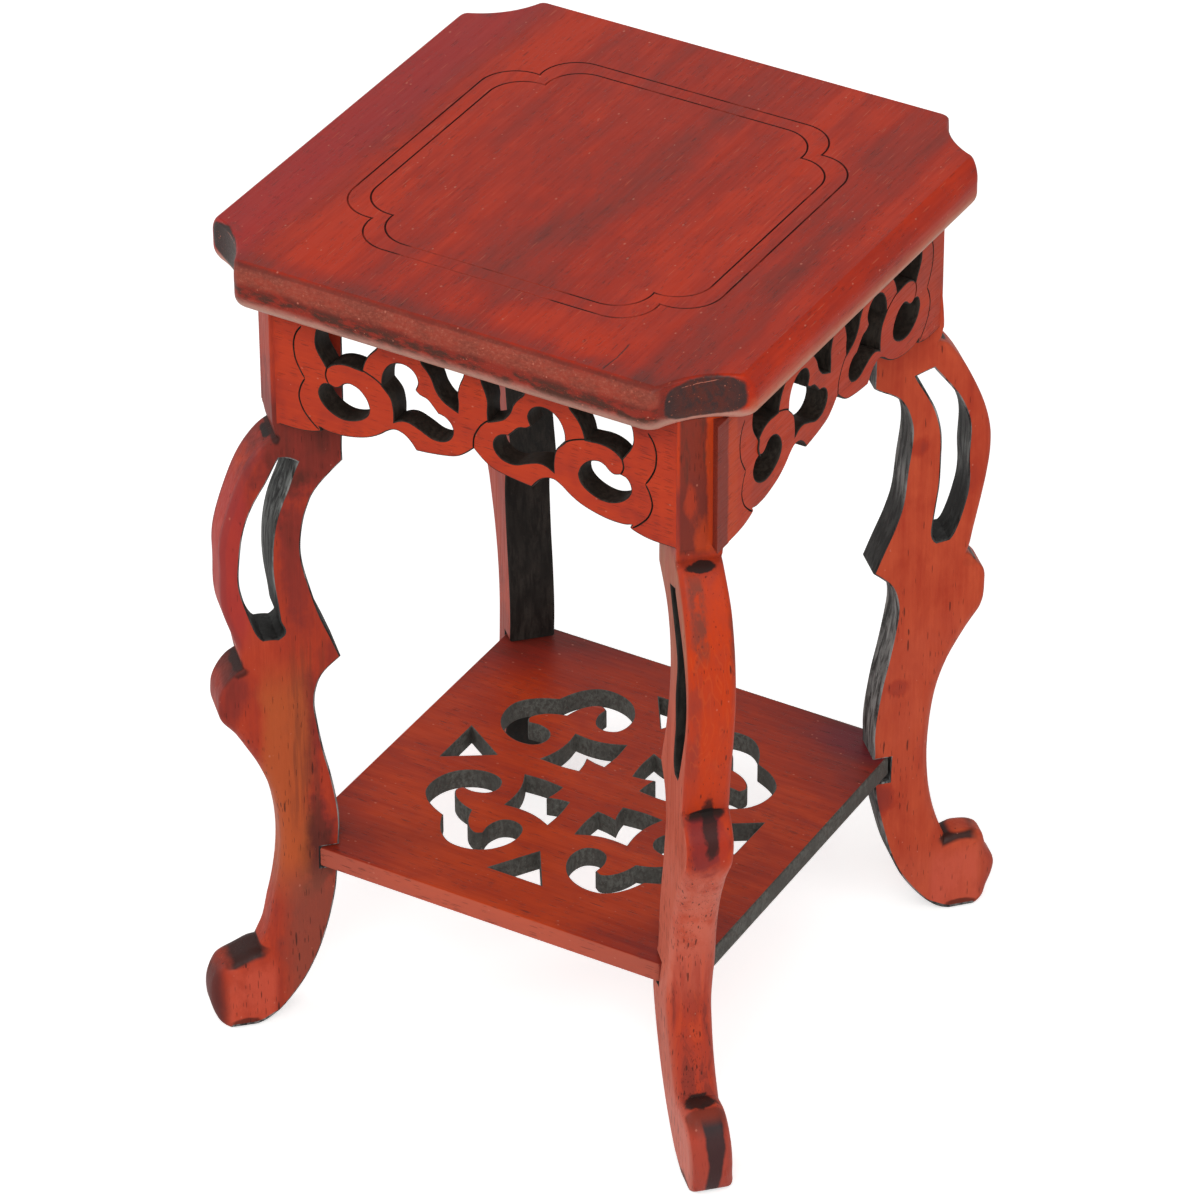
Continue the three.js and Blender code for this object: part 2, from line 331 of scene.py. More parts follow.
def plate(outer, holes, thickness, roundings, finishes, place, fineness):
    """A flat board with rounded edges.

    roundings is a function of (loop number, point) or a list of radii for each loop, finishes holds a
    material number or a function for each loop's wall, and place turns (across, up, depth) into a position.
    """
    solid = Solid()
    loops = [turned(outer, True)] + [turned(hole, False) for hole in holes]
    quarter = quarter_steps(fineness)
    half = thickness / 2
    front = []
    back = []
    for number, loop in enumerate(loops):
        radii = roundings[number] if isinstance(roundings, list) else [roundings(number, p) for p in loop]
        corners = list(zip(loop, inward(loop), radii))
        rings = []
        for out, up in reversed(quarter):
            rings.append([(p + step * r * out, half - r * (1 - up)) for p, step, r in corners])
        for out, up in quarter:
            rings.append([(p + step * r * out, r * (1 - up) - half) for p, step, r in corners])
        firsts = [solid.add_ring([place(p.x, p.y, depth) for p, depth in ring]) for ring in rings]
        for nearer, farther in zip(firsts, firsts[1:]):
            solid.join_rings(farther, nearer, len(loop), finishes[number])
        face_outline = [p for p, depth in rings[0]]
        front.append((face_outline, firsts[0]))
        back.append((face_outline, firsts[-1]))
    solid.fill(front)
    solid.fill(back, downwards=True)
    return solid


def signed_volume(solid):
    total = 0.0
    for face in solid.faces:
        a = solid.vertices[face[0]]
        for k in range(1, len(face) - 1):
            total += a.dot(solid.vertices[face[k]].cross(solid.vertices[face[k + 1]]))
    return total


def make_object(name, solid, materials):
    """A shaded mesh object in the row frame."""
    flip = signed_volume(solid) < 0
    faces = [tuple(reversed(face)) if flip else face for face in solid.faces]
    mesh = bpy.data.meshes.new(name)
    mesh.from_pydata([v * MM for v in solid.vertices], [], faces)
    for material in materials:
        mesh.materials.append(material)
    mesh.polygons.foreach_set("material_index", solid.finishes)
    mesh.polygons.foreach_set("use_smooth", [True] * len(faces))
    mesh.validate()
    mesh.set_sharp_from_angle(angle=SHARP_ANGLE)
    piece = bpy.data.objects.new(name, mesh)
    bpy.context.collection.objects.link(piece)
    return piece


def level_shading(piece):
    """Keeps the large flat faces flat beside their rounded edges."""
    weighted = piece.modifiers.new("level_shading", "WEIGHTED_NORMAL")
    weighted.keep_sharp = True
    weighted.mode = "FACE_AREA"


# Top board

def arc(centre, radius, start, end, count):
    """Points of an arc, with its last point left out."""
    points = []
    for k in range(count):
        angle = start + (end - start) * k / count
        points.append(centre + Vector((math.cos(angle), math.sin(angle))) * radius)
    return points


def board_quarter(half, fillet, rim):
    """The front side and the corner on its right, for a side at half and a scallop drawn back by rim."""
    radius = SCALLOP_RADIUS + rim
    rise = SCALLOP_CENTRE - (half - fillet)
    side_end = SCALLOP_CENTRE - math.sqrt((radius + fillet) ** 2 - rise ** 2)
    first_centre = Vector((side_end, fillet - half))
    scallop_centre = Vector((SCALLOP_CENTRE, -SCALLOP_CENTRE))
    towards = first_centre - scallop_centre
    touch = math.atan2(towards.y, towards.x)
    if touch < 0:
        touch += 2 * math.pi
    other_touch = 3 * math.pi / 2 - touch
    second_centre = Vector((half - fillet, -side_end))
    points = run_points([(-side_end, -half), (side_end, -half)], 2 * side_end / SIDE_POINTS)
    points += arc(first_centre, fillet, -math.pi / 2, touch - math.pi, FILLET_POINTS)
    points += arc(scallop_centre, radius, touch, other_touch, SCALLOP_POINTS)
    points += arc(second_centre, fillet, other_touch - math.pi, 0.0, FILLET_POINTS)
    return points


def board_ring(half, fillet, rim):
    """The board's whole outline at one height."""
    return [p + BOARD_SHIFT for p in four_times(board_quarter(half, fillet, rim))]


def nose_levels():
    """(height, half side, fillet radius, how far the scallop's rim is rounded back), from below upwards."""
    levels = []
    for k in range(NOSE_LOWER_STEPS + 1):
        angle = math.pi / 2 * (1 - k / NOSE_LOWER_STEPS)
        height = BOARD_BOTTOM + NOSE_LOWER_RADIUS * (1 - math.sin(angle))
        half = BOARD_HALF - NOSE_LOWER_RADIUS * (1 - math.cos(angle))
        levels.append((height, half, FILLET_AT_NOSE, SCALLOP_LOWER_RIM * (1 - math.cos(angle))))
    inset = BOARD_HALF - FLAT_HALF
    rise = BOARD_TOP - NOSE_MIDDLE
    radius = (inset ** 2 + rise ** 2) / (2 * inset)
    last = math.asin(rise / radius)
    for k in range(NOSE_UPPER_STEPS + 1):
        share = k / NOSE_UPPER_STEPS
        angle = last * share
        height = NOSE_MIDDLE + radius * math.sin(angle)
        half = BOARD_HALF - radius * (1 - math.cos(angle))
        fillet = FILLET_AT_NOSE + (FILLET_AT_TOP - FILLET_AT_NOSE) * share
        rim = SCALLOP_UPPER_RIM * max(0.0, (height - BOARD_TOP) / SCALLOP_RIM_HEIGHT + 1) ** 2
        levels.append((height, half, fillet, rim))
    return levels


def ruyi_frame(half, lobe_radius, lobe_along):
    """An engraved frame: straight sides that end in two lobes meeting in a cusp at each corner."""
    lobe_out = half - lobe_radius
    gap = (lobe_out - lobe_along) * ROOT_HALF
    cusp = (lobe_out + lobe_along) * ROOT_HALF + math.sqrt(lobe_radius ** 2 - gap ** 2)
    cusp_angle = math.acos((cusp * ROOT_HALF - lobe_out) / lobe_radius)
    quarter = run_points([(-lobe_along, -half), (lobe_along, -half)], FRAME_STEP)
    down = -math.pi / 2
    quarter += arc(Vector((lobe_along, -lobe_out)), lobe_radius, down, down + cusp_angle, LOBE_POINTS)
    quarter += arc(Vector((lobe_out, -lobe_along)), lobe_radius, -cusp_angle, 0.0, LOBE_POINTS)
    return four_times(quarter)


def groove_depth(point):
    """The tool ran light along the middle of the front side."""
    front = ease(-point.y, 22.0, 29.0)
    middle = ease(point.x, -19.0, -13.0) * (1 - ease(point.x, 6.0, 12.0))
    return GROOVE_DEPTH * (1 - GROOVE_FADING * front * middle)


def add_groove(solid, line):
    """A V-shaped groove in the board along a closed line. Returns its outer and inner edges."""
    steps = inward(line)
    outer = [p - s * GROOVE_HALF_WIDTH for p, s in zip(line, steps)]
    inner = [p + s * GROOVE_HALF_WIDTH for p, s in zip(line, steps)]
    outer_first = solid.add_ring([Vector((p.x, p.y, BOARD_TOP)) for p in outer])
    floor_first = solid.add_ring([Vector((p.x, p.y, BOARD_TOP - groove_depth(p))) for p in line])
    inner_first = solid.add_ring([Vector((p.x, p.y, BOARD_TOP)) for p in inner])
    solid.join_rings(outer_first, floor_first, len(line), 1)
    solid.join_rings(floor_first, inner_first, len(line), 1)
    return (outer, outer_first), (inner, inner_first)


def top_board(materials):
    solid = Solid()
    edges = []
    for height, half, fillet, rim in nose_levels():
        ring = board_ring(half, fillet, rim)
        edges.append((ring, solid.add_ring([Vector((p.x, p.y, height)) for p in ring])))
    for edge, next_edge in zip(edges, edges[1:]):
        solid.join_rings(edge[1], next_edge[1], len(edge[0]), 0)
    outer_edge, band_edge = add_groove(solid, ruyi_frame(*OUTER_FRAME))
    inner_band_edge, middle_edge = add_groove(solid, ruyi_frame(*INNER_FRAME))
    solid.fill([edges[-1], outer_edge])
    solid.fill([band_edge, inner_band_edge])
    solid.fill([middle_edge])
    solid.fill([edges[0]], downwards=True)
    piece = make_object("board", solid, materials)
    level_shading(piece)
    return piece


# Aprons

APRON_LOWER_EDGE = [
    [(0, 125.8), (1.5, 124.4), (3.2, 123.3), (5.6, 122.7), (8.3, 122.3), (10.4, 122.1)],
    [(10.4, 122.1), (11.3, 123.3), (12.5, 124.3), (14.1, 124.7), (15.6, 124), (17, 122.9), (18.9, 121.8),
     (21.3, 121), (24, 120.5), (26.6, 120.5), (28, 120.9)],
    [(28, 120.9), (27.6, 120.3), (28.6, 119.8), (30.6, 119.3), (33, APRON_LOW), (APRON_HALF, APRON_LOW)],
]

UPPER_OUTER_HOLE = [
    [(17.3, 138.5), (18.8, 136.8), (19.6, 135.2), (19.95, 133.8)],
    [(19.95, 133.8), (21.2, 133.9), (22.4, 134), (24, 133.8), (25.4, 133.2), (26.3, 132.4)],
    [(26.3, 132.4), (27, 133.5), (27.8, 134.8), (28.2, 136.3), (27.9, 138.5), (26.9, APRON_HOLE_TOP)],
    [(26.9, APRON_HOLE_TOP), (17.6, APRON_HOLE_TOP)],
    [(17.6, APRON_HOLE_TOP), (17, 139.6), (17.3, 138.5)],
]

LOWER_OUTER_HOLE = [
    [(18.8, 127.2), (19.1, 126), (20.2, 124.9), (22, 124.1), (23.9, 123.9), (25.7, 124.5), (27.1, 125.6),
     (27.8, 127), (27.6, 128.2), (26.9, 129.1), (25.9, 129.3)],
    [(25.9, 129.3), (24.9, 129), (24, 129.4), (23.3, 130.1)],
    [(23.3, 130.1), (22.2, 130.5), (20.6, 130), (19.3, 128.6), (18.8, 127.2)],
]

SCROLL_HOLE = [
    [(14.2, 126.3), (14.2, 128.2), (14.7, 130.4), (16.2, 132.1)],
    [(16.2, 132.1), (16.1, 133.7), (15.5, 135.3), (14.3, 136.6), (12.4, 137.1), (10.7, 136.4), (9.9, 134.8),
     (10.4, 133.2)],
    [(10.4, 133.2), (9.6, 132.5), (8.2, 132.1), (7.1, 131), (6.3, 130.1)],
    [(6.3, 130.1), (5.2, 129.9), (4.1, 129), (3.7, 127.7), (4.2, 126.4), (5.5, 125.5), (7.4, 125.4),
     (9.5, 126.3), (11.5, 127), (13, 126.9), (14.2, 126.3)],
]

BUD_HOLE = [
    [(1.5, APRON_HOLE_TOP), (1.7, 138.5), (2.4, 136.7), (2.8, 135), (2.7, 133.2), (2.8, 131.7)],
    [(2.8, 131.7), (4, 132.2), (5.4, 133), (6.5, 134.4), (7.1, 136), (8, 137.4), (9, 138.5),
     (9.4, APRON_HOLE_TOP)],
    [(9.4, APRON_HOLE_TOP), (1.5, APRON_HOLE_TOP)],
]

MIDDLE_LINE = [[(2.8, 131.9), (1.4, 130.5), (0.3, 128.5), (0, 127), (0, 125.7)]]

# Engraved lines of the right half, around the end lobe and between the scrolls
SIDE_LINES = [
    [
        [(30.8, 138.5), (31.8, 137), (32.3, 135), (32.1, 132.5), (31.3, 130.6), (30.4, 129.1)],
        [(30.4, 129.1), (31.2, 127.5), (31.6, 125.5), (30.9, 123.3), (29.5, 121.6), (28.1, 120.4)],
    ],
    [[(26.25, 132.5), (26.6, 131), (26.3, 129.9), (25.85, 129.2)]],
    [[(20.05, 133.9), (18.5, 133.4), (17, 132.7), (16.1, 132)]],
]


def apron_outline():
    frame_corners = [
        (APRON_HALF, APRON_LOW),
        (APRON_HALF, FRAME_TOP),
        (-APRON_HALF, FRAME_TOP),
        (-APRON_HALF, APRON_LOW),
    ]
    straight = [list(pair) for pair in zip(frame_corners, frame_corners[1:])]
    return trace(APRON_LOWER_EDGE + straight + mirror(APRON_LOWER_EDGE))


def apron_holes():
    holes = []
    for runs in (UPPER_OUTER_HOLE, LOWER_OUTER_HOLE, SCROLL_HOLE, BUD_HOLE):
        holes.append(trace(runs))
        holes.append(trace(mirror(runs)))
    return holes


def apron_place(turn):
    """Places (along, up, depth) on the side of the stand that is turn quarter turns from the front."""
    spin = Matrix.Rotation(turn * math.pi / 2, 3, "Z")
    askew = APRON_SHIFT[turn].to_3d() - Vector((0, 0, APRON_DROP))

    def place(across, up, depth):
        reach = across
        if abs(across) > APRON_HALF - END_WIDTH:
            reach = math.copysign(APRON_HALF - (APRON_THICKNESS / 2 - depth), across)
        if across < -APRON_HALF + END_WIDTH:
            reach -= APRON_NEAR_REACH[turn]
        yawed = depth - APRON_YAW[turn] * across
        return spin @ Vector((reach, -(APRON_FACE - APRON_THICKNESS / 2 + yawed), up)) + askew

    return place


def line_cutter(name, points, place, material):
    """A long wedge along an open line, which cuts a groove into an apron's face."""
    face = APRON_THICKNESS / 2
    rings = []
    for i, point in enumerate(points):
        ahead = points[min(i + 1, len(points) - 1)] - points[max(i - 1, 0)]
        taper = LINE_TAPER if i in (0, len(points) - 1) else 1.0
        side = Vector((-ahead.y, ahead.x)).normalized() * APRON_LINE_WIDTH / 2 * taper
        left = point + side
        right = point - side
        rings.append([
            place(left.x, left.y, face + CUTTER_RISE),
            place(right.x, right.y, face + CUTTER_RISE),
            place(right.x, right.y, face),
            place(point.x, point.y, face - APRON_LINE_DEPTH * taper),
            place(left.x, left.y, face),
        ])
    return make_object(name, bar(rings, 1), material)


def cut(piece, cutter):
    """Takes the cutter's shape out of the piece, and removes the cutter."""
    boolean = piece.modifiers.new("cut", "BOOLEAN")
    boolean.operation = "DIFFERENCE"
    boolean.solver = "EXACT"
    boolean.object = cutter
    graph = bpy.context.evaluated_depsgraph_get()
    result = bpy.data.meshes.new_from_object(piece.evaluated_get(graph))
    piece.modifiers.clear()
    old = piece.data
    piece.data = result
    bpy.data.meshes.remove(old)
    bpy.data.objects.remove(cutter)


def apron_lines():
    """Open engraved lines of one apron, as lists of points."""
    runs = list(MIDDLE_LINE)
    for line in SIDE_LINES:
        runs += line + mirror(line)
    return [run_points(run, LINE_STEP) + [Vector(run[-1])] for run in runs]


def apron(name, turn, materials):
    outline = turned(apron_outline(), True)
    place = apron_place(turn)

    def is_glued(point):
        return abs(point.x) > APRON_HALF - GLUED_WIDTH or point.y > FRAME_TOP - GLUED_WIDTH

    def wall_finish(i):
        return 0 if is_glued(outline[i]) else 1

    def rounding(number, point):
        return APRON_GLUED_EDGE if number == 0 and is_glued(point) else APRON_EDGE

    holes = apron_holes()
    finishes = [wall_finish] + [1] * len(holes)
    solid = plate(outline, holes, APRON_THICKNESS, rounding, finishes, place, 2)
    piece = make_object(name, solid, materials)
    for number, line in enumerate(apron_lines()):
        cut(piece, line_cutter(f"{name}_line_{number}", line, place, materials))
    piece.data.set_sharp_from_angle(angle=SHARP_ANGLE)
    level_shading(piece)
    return piece


# Legs

LEG_OUTER = [
    [(55, FRAME_TOP), (55, 121), (54.8, 118), (54.4, 115.8)],
    [(54.4, 115.8), (56.4, 114.6), (58.9, 111.4), (61, 107.5), (62.7, 102.9), (63.7, 98), (63.9, 93.5),
     (63.5, 89), (62.8, 84.5), (61.9, 79.5), (60.6, 72.4)],
    [(60.6, 72.4), (62.2, 71.4), (63.6, 70.1), (64.5, 68.6), (64.7, 66.8), (64.1, 63.6), (62.6, 60.2),
     (60.4, 56.2), (58.2, 52), (56.4, 47.3), (55.3, 42.5), (54.8, 37.5), (54.9, 32.5), (55.5, 27.5),
     (56.5, 22.7), (57.7, 18.6), (59, 14.9)],
    [(59, 14.9), (61, 15), (63.3, 14.2), (65.3, 12.3), (66.7, 9.4), (67.1, 6.6), (66.8, 3.9), (65.8, 1.5),
     (64.0, 0.1)],
]

LEG_INNER_BELOW = [
    [(64.0, 0.1), (59.6, 0)],
    [(59.6, 0), (57.9, 0.6), (56.3, 1.9), (53.6, 5), (51, 9), (48.8, 14), (47.2, 19.5), (46.1, 25),
     (45.7, 29)],
]

LEG_INNER_ABOVE = [
    [(45.35, 35.5), (45.2, 39), (45.5, 43), (46.5, 49), (47.7, 54.5), (48.6, 60), (49, 64), (48.5, 67.3),
     (47.3, 69.7), (44.6, 72.2)],
    [(44.6, 72.2), (46, 76), (47.9, 81), (49.4, 86.5), (50.3, 92), (50.4, 97), (49.8, 101.5), (48, 105.5),
     (43.5, 109.5)],
    [(43.5, 109.5), (43.4, FRAME_TOP)],
    [(43.4, FRAME_TOP), (55, FRAME_TOP)],
]

LEG_SLOT = [
    [(55.2, 76.8), (54.6, 77.6), (54.4, 79.4), (54.8, 83.5), (55.3, 88), (55.6, 92.5), (55.4, 96.8),
     (54.6, 101.2), (53.1, 105.5), (51.2, 109.8)],
    [(51.2, 109.8), (54.1, 110.9)],
    [(54.1, 110.9), (56.3, 107.5), (58.5, 103.5), (59.9, 99.5), (60.6, 95), (60.6, 90), (60, 86),
     (59, 81.5), (57.9, 78.2), (57.2, 77.1)],
    [(57.2, 77.1), (55.2, 76.8)],
]


# Notches for the shelf: depth of each, and its lower and upper height
LEG_NOTCH = [(48.9, 30.5, 34.7), (48.2, 29.4, 34.3), (48.9, 30.5, 34.7), (48.5, 30.6, 34.6)]

# Where each leg's carving differs: middle (distance, height), reach, and how far it moves there
LEG_CARVING = [
    [],
    [((55.0, 132.0), 15.0, (-1.0, 0.0)), ((60.0, 108.0), 13.0, (-0.6, 0.0)),
     ((50.2, 92.0), 9.0, (-0.7, 0.0)), ((43.5, 109.5), 6.0, (0.0, -1.0)), ((60.6, 72.4), 3.5, (0.0, 1.2)),
     ((64.6, 67.5), 6.5, (-0.8, 0.9)), ((55.0, 38.0), 20.0, (0.9, 0.0)), ((47.0, 20.0), 12.0, (0.4, 0.0)),
     ((62.0, 15.0), 4.0, (0.0, 0.8)), ((64.5, 13.3), 3.5, (1.0, 1.0)), ((67.0, 8.0), 5.0, (0.8, 0.1))],
    [],
    [((63.0, 84.0), 9.0, (0.9, 0.0)), ((62.5, 104.0), 10.0, (-0.4, 0.0)), ((50.3, 94.0), 9.0, (0.4, 0.0)),
     ((64.5, 68.0), 5.0, (-0.1, -1.0)), ((63.5, 63.0), 5.0, (0.5, -0.3)), ((43.5, 112.0), 9.0, (0.4, 0.6)),
     ((62.8, 14.6), 4.5, (-0.3, -0.9)), ((59.0, 18.0), 6.0, (-0.5, 0.0))],
]

# The same for each leg's long slot
SLOT_CARVING = [
    [((61.0, 94.0), 16.0, (1.6, 0.0)), ((53.0, 92.0), 8.0, (-2.2, 0.0))],
    [((60.6, 93.0), 8.0, (-0.8, 0.0)), ((52.7, 110.3), 8.0, (-0.7, 0.0))],
    [],
    [((60.5, 88.0), 8.0, (0.4, 0.0)), ((56.0, 77.0), 4.5, (0.0, 0.8)), ((54.6, 78.0), 3.0, (-0.7, 0.0)),
     ((52.7, 110.3), 5.0, (0.0, 1.4))],
]


# Heights between which one stretch of a leg's outer edge turns into the next
HEAD_STARTS = (114.5, 117.5)
BOW_STARTS = (73.0, 78.0)
KNEE_STARTS = (58.0, 65.0)
TOE_STARTS = (-1.5, 3.5)
SOLE_ENDS = (0.5, 4.0)

OUTER_POINTS = trace(LEG_OUTER)


def on_outer_edge(point):
    """True for the part of the leg's outline that faces outwards."""
    return min((point - p).length for p in OUTER_POINTS) < 0.05


def notch(quarter):
    """The slot in the leg's inner edge that holds the shelf."""
    depth, low, high = LEG_NOTCH[quarter]
    lower, upper = LEG_INNER_BELOW[-1][-1], LEG_INNER_ABOVE[0][0]
    return [
        [lower, (lower[0], low)],
        [(lower[0], low), (depth, low)],
        [(depth, low), (depth, high)],
        [(depth, high), (upper[0], high)],
        [(upper[0], high), upper],
    ]


def carved(point, changes):
    """The point moved to where this leg's carver put it."""
    moved_point = point.copy()
    for middle, reach, move in changes:
        share = 1 - ease((point - Vector(middle)).length, 0.0, reach)
        moved_point += Vector(move) * share
    return moved_point


def leg_edge_radius(point):
    """Rounding of the outer edge: slight on the bow, crisp at the knee, soft below it."""
    bow_share = ease(point.y, *BOW_STARTS)
    knee_share = ease(point.y, *KNEE_STARTS)
    bow = LEG_BOW_EDGE * bow_share * (1 - ease(point.y, *HEAD_STARTS))
    knee = LEG_KNEE_EDGE * (1 - bow_share) * knee_share
    low = LEG_LOW_EDGE * (1 - knee_share) * ease(point.y, *TOE_STARTS)
    return max(LEG_CRISP_EDGE, bow + knee + low)


def leg_turn(quarter, height):
    """How far across each millimetre of width carries the near leg, which is glued a little askew."""
    if quarter != NEAR_LEG:
        return 0.0
    less = (NEAR_LEG_TURN - NEAR_LEG_HEAD_TURN) * ease(height, *HEAD_TURN_STARTS)
    return NEAR_LEG_TURN * ease(height, *TURN_STARTS) - less


def leg_trim(quarter, height):
    """How much thinner than the others a leg is at a height."""
    if quarter == NEAR_LEG:
        low = NEAR_LEG_TRIM * (1 - ease(height, *TRIM_ENDS))
        return low + NEAR_LEG_HEAD_TRIM * ease(height, *HEAD_TRIM_STARTS)
    return RIGHT_LEG_TRIM if quarter == RIGHT_LEG else 0.0


def leg(name, quarter, materials):
    """A leg on the diagonal that lies quarter right angles from the front right one."""
    outward, across = leg_directions(quarter)

    def place(distance, height, depth):
        lean = LEAN * max(0.0, min(1.0, (height - LEAN_START) / (LEAN_END - LEAN_START)))
        foot = FOOT_SHIFT[quarter] * max(0.0, 1 - height / LEAN_START)
        upright = Vector((lean.x + foot.x, lean.y + foot.y, height))
        askew = leg_turn(quarter, height) * (NEAR_LEG_PIVOT - distance)
        thinner = leg_trim(quarter, height) * (depth / LEG_THICKNESS + 0.5)
        return outward * distance + across * (depth - thinner + askew) + upright

    def rounding(point):
        if point.y > FRAME_TOP - 1:
            return LEG_CRISP_EDGE
        sole = LEG_SOLE_EDGE * (1 - ease(point.y, *SOLE_ENDS))
        if not on_outer_edge(point):
            return max(LEG_CRISP_EDGE, sole)
        return max(leg_edge_radius(point), sole)

    plain_loop = turned(trace(LEG_OUTER + LEG_INNER_BELOW + notch(quarter) + LEG_INNER_ABOVE), True)
    outer_wall = [on_outer_edge(p) for p in plain_loop]
    radii = [rounding(p) for p in plain_loop]
    loop = [carved(p, LEG_CARVING[quarter]) for p in plain_loop]

    def wall_finish(i):
        return 0 if outer_wall[i] else 1

    slot_loop = [carved(p, SLOT_CARVING[quarter]) for p in trace(LEG_SLOT)]
    slot_radii = [LEG_CRISP_EDGE] * len(slot_loop)
    finishes = [wall_finish, 1]
    solid = plate(loop, [slot_loop], LEG_THICKNESS, [radii, slot_radii], finishes, place, 6)
    piece = make_object(name, solid, materials)
    level_shading(piece)
    return piece


# Pins

def pin(name, hidden_pin, turn, materials):
    """A split bamboo pin that follows its apron: three-lobed, tapered and pared at its lower end."""
    corners = [hidden_pin.matrix_world @ Vector(corner) for corner in hidden_pin.bound_box]
    low = Vector([min(corner[axis] for corner in corners) for axis in range(3)]) / MM
    high = Vector([max(corner[axis] for corner in corners) for axis in range(3)]) / MM
    middle = (low + high) / 2 + APRON_SHIFT[turn].to_3d()
    radius = (high.x - low.x) / 2
    taper = [(low.z, 0.62), (low.z + 0.5, 0.96), (middle.z, 1.0), (high.z - 0.3, 0.94), (high.z, 0.70)]
    rings = []
    for height, share in taper:
        ring = []
        for k in range(PIN_SIDES):
            angle = 2 * math.pi * k / PIN_SIDES
            out = Vector((math.cos(angle), math.sin(angle), 0))
            reach = radius * share * (0.95 + 0.05 * math.cos(3 * angle))
            ring.append(Vector((middle.x, middle.y, height)) + out * reach)
        rings.append(ring)
    return make_object(name, bar(rings, 0), materials)


# Shelf

CLOUD_HALF = [
    [(15.7, 15.7), (15.2, 17.4), (14.4, 19), (13.2, 20.3), (11.8, 20.9), (10.6, 20.2)],
    [(10.6, 20.2), (10.8, 18), (9.9, 15.8), (8, 15), (6, 15.8), (5.2, 18), (5.6, 20.6), (7.2, 23.1),
     (9.4, 24.6), (12, 25.2), (14.4, 24.9), (16.3, 23.6), (17.8, 21.6), (19, 19)],
]

LEAF_HALF = [
    [(6.6, 6.6), (4.6, 6.1), (2.8, 5.9)],
    [(2.8, 5.9), (2.5, 9.4), (2.7, 12.9)],
    [(2.7, 12.9), (4.5, 12.1), (6.6, 11.5), (9, 11.3), (11.5, 11.5)],
]

TRIANGLE_APEX = 20.2
TRIANGLE_BASE = 27.9
TRIANGLE_HALF_WIDTH = 4.9


def shelf_holes():
    holes = []
    apex = (0, TRIANGLE_APEX)
    right = (TRIANGLE_HALF_WIDTH, TRIANGLE_BASE)
    left = (-TRIANGLE_HALF_WIDTH, TRIANGLE_BASE)
    triangle = [[apex, right], [right, left], [left, apex]]
    for turn in range(4):
        spin = Matrix.Rotation(turn * math.pi / 2, 2)
        for runs in (CLOUD_HALF + swap(CLOUD_HALF), LEAF_HALF + swap(LEAF_HALF), triangle):
            holes.append([spin @ p for p in trace(runs)])
    return holes


def shelf(materials):
    cut_side = SHELF_CORNER / ROOT_HALF - SHELF_HALF
    corners = four_times([Vector((cut_side, -SHELF_HALF)), Vector((SHELF_HALF, -cut_side))])
    outline = []
    for k, corner in enumerate(corners):
        outline += run_points([corner, corners[(k + 1) % len(corners)]], SHELF_STEP)

    def rounding(number, point):
        return SHELF_EDGE if number == 0 else SHELF_HOLE_EDGE

    def place(x, y, depth):
        grown = x + (SHELF_RIGHT_GROWTH - SHELF_RIGHT_SKEW * y) * ease(x, *SHELF_GROWTH_STARTS)
        return Vector((grown, y, SHELF_TOP - SHELF_THICKNESS / 2 + depth))

    def edge_finish(i):
        point = outline[i]
        return 0 if point.y < -SHELF_HALF + 0.5 or point.x < -SHELF_HALF + 0.5 else 1

    holes = shelf_holes()
    finishes = [edge_finish] + [1] * len(holes)
    solid = plate(outline, holes, SHELF_THICKNESS, rounding, finishes, place, 2)
    piece = make_object("lower_shelf", solid, materials)
    level_shading(piece)
    return piece


# Shader helpers

class Value:
    """An output inside a shader. Arithmetic with it makes Math nodes."""

    def __init__(self, socket):
        self.socket = socket
        self.tree = socket.id_data

    def __add__(self, other):
        return calc("ADD", self, other)

    def __sub__(self, other):
        return calc("SUBTRACT", self, other)

    def __rsub__(self, other):
        return calc("SUBTRACT", other, self)

    def __mul__(self, other):
        return calc("MULTIPLY", self, other)

    def __truediv__(self, other):
        return calc("DIVIDE", self, other)

    def __rtruediv__(self, other):
        return calc("DIVIDE", other, self)

    def __pow__(self, other):
        return calc("POWER", self, other)

    def __abs__(self):
        return calc("ABSOLUTE", self)

    __radd__ = __add__
    __rmul__ = __mul__


def node(tree, kind, **settings):
    made = tree.nodes.new(kind)
    for key, value in settings.items():
        setattr(made, key, value)
    return made


def feed(socket, value):
    """Sets a socket to a plain value or links it to a value of the same shader."""
    if isinstance(value, Value):
        value.tree.links.new(value.socket, socket)
    else:
        socket.default_value = value


def calc(operation, first, second=0.0):
    tree = first.tree if isinstance(first, Value) else second.tree
    made = node(tree, "ShaderNodeMath", operation=operation)
    feed(made.inputs[0], first)
    feed(made.inputs[1], second)
    return Value(made.outputs[0])


def shift(value, low, high, bottom=0.0, top=1.0, kind="SMOOTHSTEP"):
    """Maps low..high to bottom..top and stays there outside."""
    made = node(value.tree, "ShaderNodeMapRange", interpolation_type=kind)
    for socket, number in zip(made.inputs, (value, low, high, bottom, top)):
        feed(socket, number)
    return Value(made.outputs[0])


def window(value, low, high, soft):
    """1 from low to high, and 0 beyond soft outside them."""
    return shift(value, low - soft, low) * shift(value, high, high + soft, 1.0, 0.0)


def ellipse(across, up, centre, radii, rim, wobble=0.0):
    """1 inside an ellipse with a soft rim, whose outline a wobble value pushes in and out."""
    a = (across - centre[0]) / radii[0]
    b = (up - centre[1]) / radii[1]
    reach = calc("SQRT", a * a + b * b)
    return shift(reach + wobble, 1 - rim / 2, 1 + rim / 2, 1.0, 0.0)


